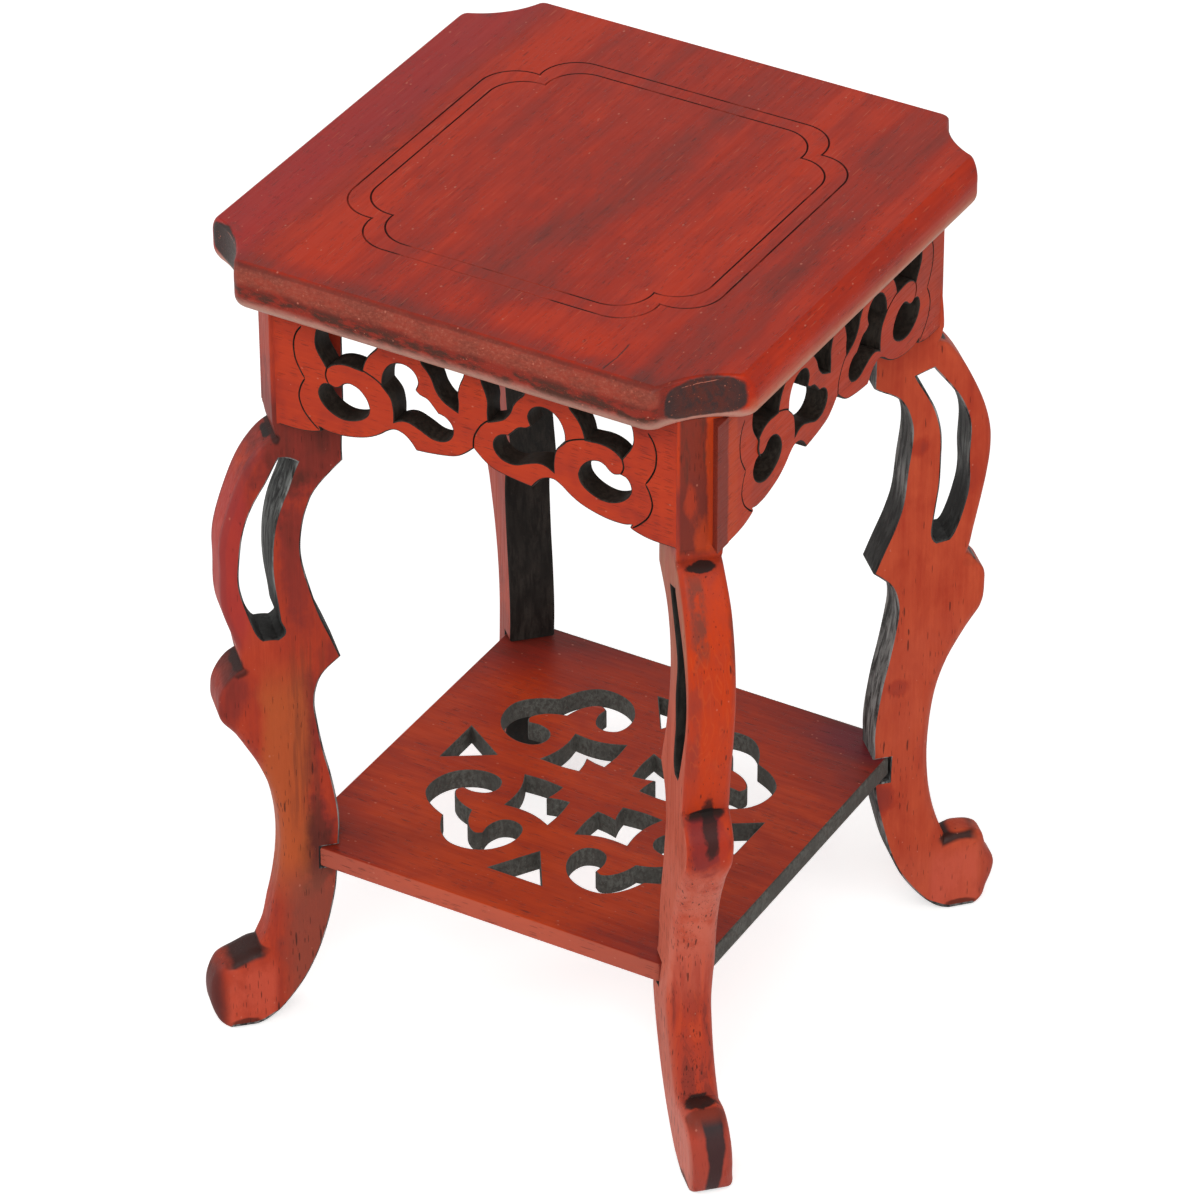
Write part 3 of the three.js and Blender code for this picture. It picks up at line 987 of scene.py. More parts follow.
def blend_colours(factor, first, second):
    made = node(factor.tree, "ShaderNodeMix", data_type="RGBA")
    feed(made.inputs[0], factor)
    for socket, colour in ((made.inputs[6], first), (made.inputs[7], second)):
        feed(socket, colour if isinstance(colour, Value) else (*colour, 1.0))
    return Value(made.outputs[2])


def vector_calc(operation, vector, other, output=0):
    made = node(vector.tree, "ShaderNodeVectorMath", operation=operation)
    feed(made.inputs[0], vector)
    made.inputs[1].default_value = other
    return Value(made.outputs[output])


def scaled(vector, factors):
    return vector_calc("MULTIPLY", vector, factors)


def moved(vector, offset):
    return vector_calc("ADD", vector, offset)


def along(vector, direction):
    """How far a place lies along a direction."""
    return vector_calc("DOT_PRODUCT", vector, direction, "Value")


def split(vector):
    """The three parts of a vector."""
    made = node(vector.tree, "ShaderNodeSeparateXYZ")
    feed(made.inputs[0], vector)
    return [Value(part) for part in made.outputs]


def joined(parts):
    """A vector made of three parts."""
    made = node(parts[0].tree, "ShaderNodeCombineXYZ")
    for socket, part in zip(made.inputs, parts):
        feed(socket, part)
    return Value(made.outputs[0])


def noise(vector, stretch, detail=2.0, roughness=0.5, distortion=0.0):
    """Noise with its own number of waves per millimetre along each part of the vector."""
    made = node(vector.tree, "ShaderNodeTexNoise")
    feed(made.inputs["Vector"], scaled(vector, stretch))
    made.inputs["Scale"].default_value = 1.0
    made.inputs["Detail"].default_value = detail
    made.inputs["Roughness"].default_value = roughness
    made.inputs["Distortion"].default_value = distortion
    return Value(made.outputs["Fac"])


def swing(value, size):
    """A noise value as a swing of size to both sides of 0."""
    return (value - 0.5) * (2 * size)


def flecks(vector, length, width, share, crowd=1.0):
    """Short marks along the first part of the vector, in a share of the cells; crowd makes them denser."""
    cells = node(vector.tree, "ShaderNodeTexVoronoi")
    feed(cells.inputs["Vector"], scaled(vector, (1 / length, 1 / width, 1 / width)))
    cells.inputs["Scale"].default_value = 1.0
    parts = node(vector.tree, "ShaderNodeSeparateColor")
    feed(parts.inputs[0], Value(cells.outputs["Color"]))
    chance, bigness = [Value(part) for part in parts.outputs[:2]]
    size = 0.12 + bigness * 0.36
    mark = shift(size - Value(cells.outputs["Distance"]), -0.06, 0.10)
    picked = calc("GREATER_THAN", chance, 1.0 - crowd * share)
    return mark * picked


def new_tree(name):
    material = bpy.data.materials.new(name)
    material.use_nodes = True
    material.node_tree.nodes.clear()
    return material, material.node_tree


# Wood

PURPLE = (0.235, 0.023, 0.014)
SHADE = (0.105, 0.020, 0.014)
DARK = (0.028, 0.009, 0.007)
SOOT = (0.012, 0.010, 0.009)
PALE = (0.55, 0.18, 0.12)


class Wood:
    """One piece's wood with its grain along an axis, built up in layers.

    The layers are a figure, stain, marks, pores and polish. mm is the place in millimetres, and grain is
    the same with its first part along the grain, moved by the seed. tone says how dark the stain is, and
    fine and relief shape the surface.
    """

    def __init__(self, name, axis, seed):
        self.material, self.tree = new_tree(name)
        place = Value(node(self.tree, "ShaderNodeTexCoord").outputs["Object"])
        self.mm = scaled(place, (1 / MM, 1 / MM, 1 / MM))
        parts = split(self.mm)
        self.x, self.y, self.z = parts
        order = {"X": (0, 1, 2), "Y": (1, 0, 2), "Z": (2, 0, 1)}[axis]
        offset = (seed * 37.1, seed * 11.3, seed * 5.7)
        self.grain = moved(joined([parts[number] for number in order]), offset)
        self.tone = None
        self.colour = None
        self.fine = None
        self.relief = 0.0

    def figure(self, tone, broad, streaks, mottle):
        """Sets the tone, where 0 is orange, 1 red and 2 purple, from bands and streaks of the grain."""
        bands = noise(self.grain, (0.012, 0.085, 0.085), 2.0, 0.5, 0.5)
        lines = noise(self.grain, (0.022, 0.55, 0.55), 3.0, 0.6, 0.3)
        hairs = noise(self.grain, (0.07, 2.2, 2.2), 2.0, 0.6)
        clouds = noise(self.grain, (0.1, 0.24, 0.24), 3.0, 0.6, 0.4)
        self.fine = hairs
        self.tone = tone + swing(bands, broad) + swing(lines, streaks)
        self.tone = self.tone + swing(hairs, streaks * 0.7) + swing(clouds, mottle * 2)

    def darken(self, mask, amount):
        self.tone = self.tone + mask * amount

    def stain(self, orange, red, purple=PURPLE):
        """Turns the tone into a colour."""
        warm = blend_colours(shift(self.tone, 0.0, 1.0, kind="LINEAR"), orange, red)
        deep = blend_colours(shift(self.tone, 1.0, 2.0, kind="LINEAR"), warm, purple)
        self.colour = blend_colours(shift(self.tone, 2.0, 3.2, kind="LINEAR"), deep, SHADE)

    def mark(self, mask, colour, strength=1.0):
        self.colour = blend_colours(mask * strength, self.colour, colour)

    def pores(self, share, length, width, strength, crowd=1.0):
        """Open pores in clumps, darker and lower than the wood around them."""
        clump = shift(noise(self.grain, (0.06, 0.25, 0.25), 2.0), 0.35, 0.65, 0.3, 1.6)
        marks = flecks(self.grain, length, width, share, clump * crowd)
        self.mark(marks, DARK, strength)
        self.relief = self.relief - marks

    def specks(self, share, size, strength):
        """Tiny pale chips and dust."""
        self.mark(flecks(self.grain, size * 1.4, size, share), PALE, strength)

    def finish(self, smooth, rough, bump, gloss=0.13):
        """Polish from smooth to rough, with a relief of bump millimetres."""
        shader = node(self.tree, "ShaderNodeBsdfPrincipled")
        feed(shader.inputs["Base Color"], self.colour)
        feed(shader.inputs["Roughness"], shift(self.fine, 0.3, 0.7, smooth, rough))
        shader.inputs["Specular IOR Level"].default_value = gloss
        raised = node(self.tree, "ShaderNodeBump")
        raised.inputs["Strength"].default_value = 1.0
        raised.inputs["Distance"].default_value = bump * MM
        feed(raised.inputs["Height"], self.fine * 0.6 + self.relief)
        feed(shader.inputs["Normal"], Value(raised.outputs[0]))
        output = node(self.tree, "ShaderNodeOutputMaterial")
        feed(output.inputs[0], Value(shader.outputs[0]))
        return self.material


# Streaks along the board's top: place across the plank, half width, softness and change of tone
BOARD_STREAKS = [
    (-36.5, 0.5, 1.6, 0.35),
    (-28.5, 2.0, 4.5, -0.65),
    (-21.5, 0.4, 1.3, 0.30),
    (-16.0, 0.8, 2.0, 0.25),
    (-9.0, 0.6, 2.0, 0.25),
    (24.0, 3.0, 5.0, -0.70),
    (33.0, 0.7, 1.8, 0.40),
    (38.0, 2.0, 2.6, 0.60),
    (45.5, 1.5, 2.5, -0.45),
]

# Stains on the board's top: place, half sizes and change of tone
BOARD_STAINS = [
    (6.5, 12.0, 4.0, 17.0, 0.75),
    (2.5, -10.0, 4.5, 11.0, 0.70),
    (-2.5, -23.0, 4.0, 9.0, 0.75),
    (3.5, -30.0, 8.0, 7.0, 0.60),
    (7.0, 37.0, 4.0, 10.0, 0.40),
    (38.5, -8.0, 3.0, 13.0, 0.40),
    (38.0, -30.0, 3.5, 8.0, 0.30),
    (-41.0, 4.0, 3.5, 22.0, 0.45),
    (15.0, -41.0, 8.0, 7.0, -0.60),
    (-26.0, -39.0, 5.0, 10.0, -0.60),
    (-28.0, 34.0, 6.0, 10.0, -0.35),
]


CRACK_PLACE = 27.4
CRACK_ENDS = (-45.5, -38.5)

# The burnt face of a scallop: its middle and half size along the chord, its middle's height and half
# height, and how much it climbs along the chord
SCALLOP_MARK_MIDDLE = 1.0
SCALLOP_MARK_HALF = 6.5
SCALLOP_MARK_HEIGHT = 146.35
SCALLOP_MARK_HALF_HEIGHT = 3.45
SCALLOP_MARK_TILT = 0.055


def board_wood():
    wood = Wood("board_wood", "Y", 1)
    wood.figure(tone=0.92, broad=0.40, streaks=0.64, mottle=0.56)
    wander = noise(wood.grain, (0.022, 0.05, 0.05), 2.0)
    across = wood.x + swing(wander, 4.0)
    patches = noise(wood.grain, (0.05, 0.16, 0.16), 4.0, 0.62)
    strength = shift(patches, 0.36, 0.62, 0.4, 1.3)
    for centre, half, soft, amount in BOARD_STREAKS:
        streak = window(across, centre - half, centre + half, soft)
        wood.darken(streak * strength, amount)
    ragged = swing(noise(wood.grain, (0.09, 0.35, 0.35), 4.0, 0.65), 0.8)
    for x, y, half_width, half_length, amount in BOARD_STAINS:
        stain = ellipse(wood.x, wood.y, (x, y), (half_width, half_length), 1.1, ragged)
        wood.darken(stain, amount)
    wood.darken(shift(wood.y, -41.0, -46.0), 1.15)
    wood.stain(orange=(0.48, 0.028, 0.004), red=(0.350, 0.020, 0.006), purple=(0.240, 0.022, 0.012))
    margin = shift(across, -33.0, -40.0)
    wood.mark(margin, (0.335, 0.022, 0.026), 0.60)
    board_crack(wood)
    wood.pores(0.30, 1.6, 0.14, 0.30)
    wood.pores(0.07, 2.6, 0.20, 0.42)
    board_nose(wood)
    board_scallops(wood)
    wood.specks(0.012, 0.42, 0.60)
    scratches = flecks(moved(wood.grain, (7.0, 3.0, 0)), 3.4, 0.2, 0.05)
    wood.mark(scratches, (0.50, 0.12, 0.06), 0.40)
    return wood.finish(0.30, 0.44, 0.03)


def board_crack(wood):
    """A short drying crack near the front edge."""
    bend = wood.x + swing(noise(wood.grain, (0.25, 0.25, 0.25), 2.0), 0.7)
    line = window(bend, CRACK_PLACE, CRACK_PLACE + 0.1, 0.16)
    reach = window(wood.y, *CRACK_ENDS, 1.0)
    wood.mark(line * reach, DARK, 0.85)


def board_nose(wood):
    """The rounded sides: end grain at the front and back with painted light on it, a highlight and rubbed
    specks on the shoulder and shade across the middle and in the top line; a painted reflection on the
    lower lip all round; and a painted sheen low on the left and right sides.
    """
    side = shift(wood.z, BOARD_TOP - 0.1, BOARD_TOP - 1.0)
    ends = shift(abs(wood.y), FLAT_HALF - 0.5, FLAT_HALF + 0.6)
    ends = ends * shift(wood.z, BOARD_TOP + 0.05, BOARD_TOP - 0.4)
    broad = noise(wood.mm, (0.09, 0.12, 0.2), 4.0, 0.6)
    mottle = noise(wood.mm, (0.2, 0.3, 0.5), 4.0, 0.68)
    fine = noise(wood.mm, (1.7, 1.7, 2.6), 3.0, 0.72)
    grain_ends = shift(fine, 0.34, 0.66)
    wood.mark(ends, (0.25, 0.024, 0.013), 0.85)
    wood.mark(ends * shift(mottle, 0.4, 0.62), (0.115, 0.018, 0.012), 0.80)
    # Painted highlight on the upper shoulder of the end grain, where the light from above falls, broken up
    # by rubbed end grain and pale specks.
    shoulder_line = wood.z + swing(broad, 1.2)
    shoulder = ends * window(shoulder_line, BOARD_TOP - 2.4, BOARD_TOP - 1.0, 1.3)
    worn = shoulder * (0.45 + grain_ends * 0.55)
    wood.mark(worn, (0.33, 0.082, 0.052), 0.62)
    wood.mark(shoulder * shift(fine, 0.58, 0.72), PALE, 0.30)
    # Painted shade in mottled patches across the middle of the end grain.
    belly_shade = window(wood.z, BOARD_BOTTOM + 2.6, BOARD_BOTTOM + 3.7, 1.2)
    belly_shade = ends * belly_shade * shift(mottle, 0.46, 0.6)
    wood.mark(belly_shade, (0.060, 0.022, 0.014), 0.85)
    # Painted shade: a dark line just under the top edge of the end grain.
    crease_shade = ends * window(wood.z, BOARD_TOP - 0.55, BOARD_TOP - 0.3, 0.2)
    wood.mark(crease_shade, (0.13, 0.018, 0.012), 0.55)
    # Painted reflection: the lower lip all round turns pale.
    lip_line = wood.z + swing(mottle, 0.7) + swing(fine, 0.25)
    lip = side * shift(lip_line, BOARD_BOTTOM + 2.9, BOARD_BOTTOM + 0.9)
    wood.mark(lip, (0.50, 0.27, 0.21), 0.85)
    # Painted sheen low on the left and right sides.
    flank = shift(abs(wood.x - BOARD_SHIFT.x), BOARD_HALF - 1.05, BOARD_HALF - 0.15)
    flank_sheen = flank * shift(lip_line, BOARD_BOTTOM + 4.5, BOARD_BOTTOM + 1.2)
    wood.mark(flank_sheen, (0.47, 0.19, 0.11), 0.65)
    wood.relief = wood.relief + ends * fine * 1.2


def board_scallops(wood):
    """The cut corners: a burnt face in the middle of each, with pale rims around it that are worn wood with
    a painted highlight above and a painted reflection below.
    """
    x = abs(wood.x - BOARD_SHIFT.x)
    y = abs(wood.y - BOARD_SHIFT.y)
    dx = SCALLOP_CENTRE - x
    dy = SCALLOP_CENTRE - y
    reach = calc("SQRT", dx * dx + dy * dy)
    chord = (x - y) * ROOT_HALF
    ragged = noise(wood.mm, (0.45, 0.45, 0.45), 3.0, 0.65)
    near_wall = shift(reach, SCALLOP_RADIUS + 2.0, SCALLOP_RADIUS + 1.5)
    across = (chord - SCALLOP_MARK_MIDDLE) / SCALLOP_MARK_HALF
    up = (wood.z - SCALLOP_MARK_HEIGHT - chord * SCALLOP_MARK_TILT) / SCALLOP_MARK_HALF_HEIGHT
    box = (cube(across) + cube(up)) ** (1 / 3)
    box = box + swing(ragged, 0.1)
    burnt_area = near_wall * shift(box, 1.04, 0.93)
    scoring = noise(wood.mm, (0.7, 0.7, 0.5), 4.0, 0.7, 0.5)
    ash = noise(wood.mm, (1.5, 1.5, 1.5), 3.0, 0.75)
    front_right = shift(wood.x - wood.y, 40.0, 70.0)
    base = blend_colours(front_right, (0.03, 0.025, 0.02), (0.085, 0.022, 0.016))
    ends_dark = shift(abs(across), 0.35, 0.95)
    base = blend_colours(ends_dark * 0.75, base, (0.03, 0.024, 0.024))
    base = blend_colours(shift(scoring, 0.42, 0.66), base, (0.034, 0.022, 0.021))
    base = blend_colours(shift(ash, 0.58, 0.75) * 0.25, base, (0.13, 0.065, 0.052))
    wood.mark(burnt_area, base, 0.97)
    # Pale lower rim: worn wood with a painted reflection.
    rim = near_wall * shift(wood.z, BOARD_BOTTOM + 1.0, BOARD_BOTTOM + 0.6)
    wood.mark(rim, (0.54, 0.22, 0.17), 0.70)
    # Pale line along the upper rim: worn wood with a painted highlight.
    line = wood.z - chord * 0.1 + swing(noise(wood.mm, (0.6, 0.6, 0.1), 2.0), 0.35)
    rubbed_highlight = window(line, BOARD_TOP - 1.22, BOARD_TOP - 1.18, 0.09)
    rubbed_highlight = near_wall * window(chord, -2.0, 2.6, 0.8) * rubbed_highlight
    wood.mark(rubbed_highlight * shift(ash, 0.38, 0.52), PALE, 0.75)


def cube(value):
    """The third power of a value's size."""
    return value * value * abs(value)


def shelf_wood():
    wood = Wood("shelf_wood", "X", 5)
    wood.figure(tone=0.70, broad=0.60, streaks=0.60, mottle=0.45)
    spread = abs(wood.x + wood.y)
    cross_spread = abs(wood.x - wood.y)
    corner = calc("MAXIMUM", spread, cross_spread)
    wood.darken(shift(corner, 44.0, 66.0), 1.3)
    wood.darken(shift(wood.y, 4.0, 36.0), 0.60)
    wood.darken(shift(wood.y, -8.0, -28.0), -0.35)
    wood.stain(orange=(0.50, 0.050, 0.009), red=(0.34, 0.029, 0.009), purple=(0.220, 0.022, 0.014))
    bruise = ellipse(wood.x, wood.y, (32.0, 33.0), (9.0, 4.5), 1.0)
    wood.mark(bruise, (0.12, 0.014, 0.028), 0.6)
    front = shift(wood.y, -SHELF_HALF + 0.25, -SHELF_HALF + 0.02)
    wood.mark(front, (0.48, 0.115, 0.072), 0.65)
    wood.pores(0.30, 1.8, 0.15, 0.38)
    wood.pores(0.06, 3.0, 0.22, 0.55)
    wood.specks(0.012, 0.4, 0.45)
    return wood.finish(0.34, 0.48, 0.03)


def apron_wood(name, turn):
    side = SIDES[turn]
    axis = "X" if side in ("front", "back") else "Y"
    wood = Wood(name, axis, 10 + turn)
    wood.figure(tone=0.62 if side == "front" else 0.35, broad=0.42, streaks=0.50, mottle=0.45)
    grime = noise(wood.mm, (0.09, 0.09, 0.09), 3.0, 0.6)
    wood.darken(shift(grime, 0.5, 0.68), 0.8)
    if side == "right":
        # Painted shade: the right apron darkens towards its back end.
        wood.darken(shift(wood.y, -25.0, 5.0), 0.40)
    wood.stain(orange=(0.49, 0.043, 0.010), red=(0.39, 0.033, 0.012))
    # Painted shadow under the board: darker towards the apron's top.
    under = shift(wood.z, 135.0, 141.0)
    wood.mark(under, (0.20, 0.018, 0.012), 0.45)
    if side == "right":
        wood.mark(shift(grime, 0.42, 0.58), (0.38, 0.050, 0.022), 0.35)
        from_end = wood.x + wood.y + swing(grime, 0.8)
        wood.mark(shift(from_end, 10.6, 9.6), (0.50, 0.055, 0.012), 0.60)
        wood.mark(shift(from_end, 7.5, 6.7), (0.165, 0.026, 0.018), 0.85)
    wood.pores(0.30, 2.4, 0.13, 0.42)
    wood.pores(0.07, 4.0, 0.20, 0.60)
    wood.specks(0.010, 0.4, 0.45)
    return wood.finish(0.40, 0.54, 0.03)


def leg_directions(quarter):
    """Unit vectors outwards and across for the leg quarter right angles from the front right one."""
    angle = -math.pi / 4 + quarter * math.pi / 2
    return Vector((math.cos(angle), math.sin(angle), 0)), Vector((-math.sin(angle), math.cos(angle), 0))


def leg_places(wood, quarter):
    """Distance from the axis and place across the leg's thickness, as in the leg's drawing."""
    lean_share = shift(wood.z, LEAN_START, LEAN_END, kind="LINEAR")
    foot_share = shift(wood.z, LEAN_START, 0.0, kind="LINEAR")
    places = []
    for direction in leg_directions(quarter):
        lean_part = lean_share * -direction.xy.dot(LEAN)
        foot_part = foot_share * -direction.xy.dot(FOOT_SHIFT[quarter])
        places.append(along(wood.mm, direction) + lean_part + foot_part)
    distance, across = places
    trim = RIGHT_LEG_TRIM if quarter == RIGHT_LEG else 0.0
    if quarter == NEAR_LEG:
        less = shift(wood.z, *HEAD_TURN_STARTS, 0.0, NEAR_LEG_TURN - NEAR_LEG_HEAD_TURN)
        turn = shift(wood.z, *TURN_STARTS, 0.0, NEAR_LEG_TURN) - less
        across = across - turn * (NEAR_LEG_PIVOT - distance)
        trim = shift(wood.z, *TRIM_ENDS, NEAR_LEG_TRIM, 0.0)
        trim = trim + shift(wood.z, *HEAD_TRIM_STARTS, 0.0, NEAR_LEG_HEAD_TRIM)
    from_face = across + LEG_THICKNESS / 2
    across = from_face * (LEG_THICKNESS / (LEG_THICKNESS - trim)) - LEG_THICKNESS / 2
    return distance, across


# How each leg's wood differs: tone, palest colour, pale scuffing low down, open pores and soot at the sides
LEG_LOOKS = [
    {"tone": 0.38, "orange": (0.50, 0.040, 0.005), "scuff": 1.0, "pores": 1.0, "soot": 0.3},
    {"tone": 0.36, "orange": (0.51, 0.072, 0.027), "scuff": 0.1, "pores": 0.35, "soot": 0.12},
    {"tone": 1.10, "orange": (0.50, 0.055, 0.015), "scuff": 0.2, "pores": 0.5, "soot": 0.5},
    {"tone": 1.05, "orange": (0.52, 0.062, 0.022), "scuff": 0.0, "pores": 0.6, "soot": 1.0},
]

# Stains of each leg: distance from the axis, height, half sizes and change of tone
LEG_STAINS = [
    [(55.0, 124.0, 6.0, 8.0, 1.3), (61.0, 68.0, 3.0, 5.0, 0.6), (58.0, 12.0, 5.0, 3.0, 0.4)],
    [(49.5, 120.0, 7.0, 8.0, 0.5), (51.5, 96.0, 1.6, 1.8, 0.9), (49.5, 48.5, 1.8, 1.5, 0.9),
     (47.6, 26.0, 2.0, 3.2, 1.3), (66.0, 8.0, 2.0, 6.0, 0.6), (51.0, 15.0, 3.0, 9.0, 0.3),
     (61.5, 95.0, 2.6, 12.0, 0.4)],
    [(50.0, 112.0, 7.0, 16.0, 0.8), (50.0, 30.0, 5.0, 12.0, 0.8)],
    [(50.0, 116.0, 9.0, 11.0, 1.5), (51.2, 93.0, 2.6, 14.0, 1.0), (61.0, 96.0, 1.6, 14.0, 0.3),
     (63.0, 68.5, 3.0, 6.0, 0.8), (50.0, 60.0, 3.0, 11.0, 1.0), (48.8, 35.5, 2.9, 8.0, 2.2),
     (49.5, 17.0, 4.5, 11.0, 1.1), (47.0, 72.0, 2.5, 4.0, 0.5)],
]


def leg_wood(name, quarter):
    look = LEG_LOOKS[quarter]
    wood = Wood(name, "Z", 30 + quarter)
    distance, across = leg_places(wood, quarter)
    wood.figure(look["tone"], broad=0.50, streaks=0.50, mottle=0.55)
    ragged = noise(wood.mm, (0.22, 0.22, 0.16), 4.0, 0.62)
    wobble = swing(ragged, 0.9)
    for stain_distance, height, half_width, half_height, amount in LEG_STAINS[quarter]:
        middle = (stain_distance, height)
        stain = ellipse(distance, wood.z, middle, (half_width, half_height), 0.8, wobble)
        wood.darken(stain, amount)
    wood.stain(orange=look["orange"], red=(0.385, 0.038, 0.015), purple=(0.240, 0.027, 0.018))
    if quarter == LEFT_LEG:
        left_leg_colours(wood, distance, across, ragged)
    if quarter == NEAR_LEG:
        edge = shift(across, -3.6, -3.2)
        blotches = noise(wood.mm, (0.35, 0.35, 0.14), 4.0, 0.65)
        near_leg_face_sheen(wood, across)
        near_leg_edge(wood, across, edge, blotches)
        near_leg_head(wood, across, edge, ragged, blotches)
    leg_scuffs(wood, distance, across, ragged, look)
    if quarter == NEAR_LEG:
        near_leg_low(wood, across)
    low = shift(wood.z, 75.0, 50.0, 0.6, 2.2) * look["pores"]
    wood.pores(0.12, 1.9, 0.16, 0.5, low)
    wood.pores(0.05, 3.4, 0.42, 0.7, low)
    leg_marks(wood, distance, across, wobble, quarter)
    wood.specks(0.010, 0.45, 0.45)
    return wood.finish(0.36, 0.52, 0.04)


def left_leg_colours(wood, distance, across, ragged):
    """Purple on the bow with painted shade on its rounded edges, a browner orange down the lower half with
    dark strands beside it.
    """
    bow = window(wood.z, 82.0, 104.0, 8.0) * shift(distance, 58.5, 60.5)
    wood.mark(bow, (0.42, 0.034, 0.034), 0.5)
    # Painted shade on the rounded edges of the bow.
    corner = window(abs(across), 2.3, 3.72, 0.25)
    corner = corner * window(wood.z, 78.0, 113.0, 3.0) * shift(distance, 55.5, 58.0)
    wood.mark(corner, (0.17, 0.030, 0.034), 0.42)
    line = distance + swing(ragged, 1.6)
    warm = window(wood.z, 34.0, 64.0, 12.0) * window(line, 51.5, 56.5, 2.5)
    wood.mark(warm, (0.44, 0.092, 0.024), 0.75)
    strand_noise = noise(wood.grain, (0.05, 0.9, 0.9), 3.0, 0.6)
    strands = window(wood.z, 44.0, 72.0, 8.0) * window(line, 48.0, 52.5, 2.0)
    wood.mark(strands * shift(strand_noise, 0.46, 0.62), (0.16, 0.034, 0.018), 0.45)
    low = shift(wood.z, 34.0, 26.0) * shift(line, 56.5, 52.0)
    wood.mark(low, (0.27, 0.070, 0.042), 0.6)


def near_leg_face_sheen(wood, across):
    """Painted sheen on the near leg's left face: pale tan, browner higher up, with redder streaks along the
    grain.
    """
    face = shift(across, -3.7, -3.88) * shift(wood.z, 118.0, 114.0)
    upper = shift(wood.z, 84.0, 104.0)
    wood.mark(face, (0.56, 0.135, 0.085), 0.80)
    wood.mark(face * upper, (0.32, 0.115, 0.060), 0.70)
    wear = shift(noise(wood.grain, (0.05, 0.5, 0.5), 3.0, 0.6), 0.42, 0.62)
    wood.mark(face * wear, (0.40, 0.066, 0.034), 0.55)


def near_leg_edge(wood, across, edge, blotches):
    """Dark brown blotches and wavy grain on the near leg's edge above the knee, and spots below it."""
    left = window(wood.z, 105.0, 112.5, 4.0) * window(across, -2.4, -0.8, 0.9)
    wood.mark(left * shift(blotches, 0.36, 0.54), (0.15, 0.040, 0.026), 0.80)
    shade = window(wood.z, 84.0, 110.0, 6.0) * window(across, -3.4, -2.2, 0.8)
    wood.mark(shade * shift(blotches, 0.4, 0.6), (0.26, 0.034, 0.022), 0.55)
    right = window(wood.z, 98.0, 107.0, 4.0) * shift(across, 2.6, 3.5)
    wood.mark(right * shift(blotches, 0.44, 0.58), (0.15, 0.030, 0.018), 0.70)
    spots = ellipse(across, wood.z, (-0.2, 33.0), (1.5, 5.0), 0.9, swing(blotches, 1.6))
    wood.mark(spots * edge, (0.12, 0.028, 0.020), 0.65)
    rings = calc("FRACT", noise(wood.mm, (0.34, 0.34, 0.07), 2.0, 0.5) * 9.0)
    waves = window(rings, 0.44, 0.5, 0.12) * edge * window(wood.z, 84.0, 102.0, 6.0)
    wood.mark(waves, (0.62, 0.10, 0.02), 0.18)


def near_leg_head(wood, across, edge, ragged, blotches):
    """The near leg's dark head, with a bright strip on its right and two bright islands."""
    head = shift(wood.z, 116.5, 118.5) * edge
    strip = window(across + swing(ragged, 0.8), 1.4, 3.2, 0.5)
    wood.mark(head * (1.0 - strip), (0.140, 0.024, 0.016), 0.80)
    wobble = swing(blotches, 1.2)
    island = ellipse(across, wood.z, (-1.7, 127.5), (1.0, 3.2), 0.8, wobble)
    wood.mark(head * island, (0.42, 0.040, 0.012), 0.7)
    lower_island = ellipse(across, wood.z, (0.6, 119.5), (1.7, 3.2), 0.8, wobble)
    wood.mark(head * lower_island, (0.46, 0.048, 0.010), 0.8)
    soot = noise(wood.mm, (0.6, 0.6, 0.1), 4.0, 0.65)
    wood.mark(head * shift(soot, 0.54, 0.66), (0.07, 0.026, 0.018), 0.55)
    wood.mark(head * strip, (0.52, 0.055, 0.010), 0.7)


def near_leg_low(wood, across):
    """Red and brown ribbons of bare grain below the near leg's pale stretch."""
    edge = shift(across, -3.5, -2.9)
    ribbons = noise(wood.grain, (0.05, 0.42, 0.42), 4.0, 0.65, 0.6)
    low = window(wood.z, 18.0, 34.0, 13.0) * edge
    red = low * shift(ribbons, 0.36, 0.56, 0.45, 1.0)
    wood.mark(red, (0.37, 0.044, 0.024), 0.85)
    wood.mark(low * shift(ribbons, 0.53, 0.62), (0.17, 0.028, 0.020), 0.60)
    wood.mark(low * shift(ribbons, 0.46, 0.38), (0.52, 0.065, 0.025), 0.45)


def leg_scuffs(wood, distance, across, ragged, look):
    """Worn, paler wood low on the leg and on the toe."""
    low = window(wood.z, 36.0, 58.0, 8.0)
    worn = low * shift(ragged, 0.34, 0.56, 0.3, 1.0)
    wood.mark(worn, (0.58, 0.135, 0.085), 0.85 * look["scuff"])
    toe = window(distance, 57.0, 63.8, 1.6)
    toe = toe * shift(wood.z, 15.0, 10.0)
    wood.mark(toe * shift(ragged, 0.36, 0.58, 0.45, 1.0), (0.57, 0.085, 0.045), 0.75)
    bare = shift(wood.z, 16.0, 10.0) * look["scuff"]
    wood.mark(bare, (0.62, 0.19, 0.145), 0.75)
    rim = shift(abs(across), 2.4, 3.7)
    wood.mark(rim * shift(wood.z, 66.0, 56.0), (0.52, 0.13, 0.085), 0.35 * look["scuff"])


# Burnt residue on the outer edge: height, half height and half width
RESIDUE = [
    (115.3, 0.55, 2.6),
    (72.2, 0.75, 3.0),
]


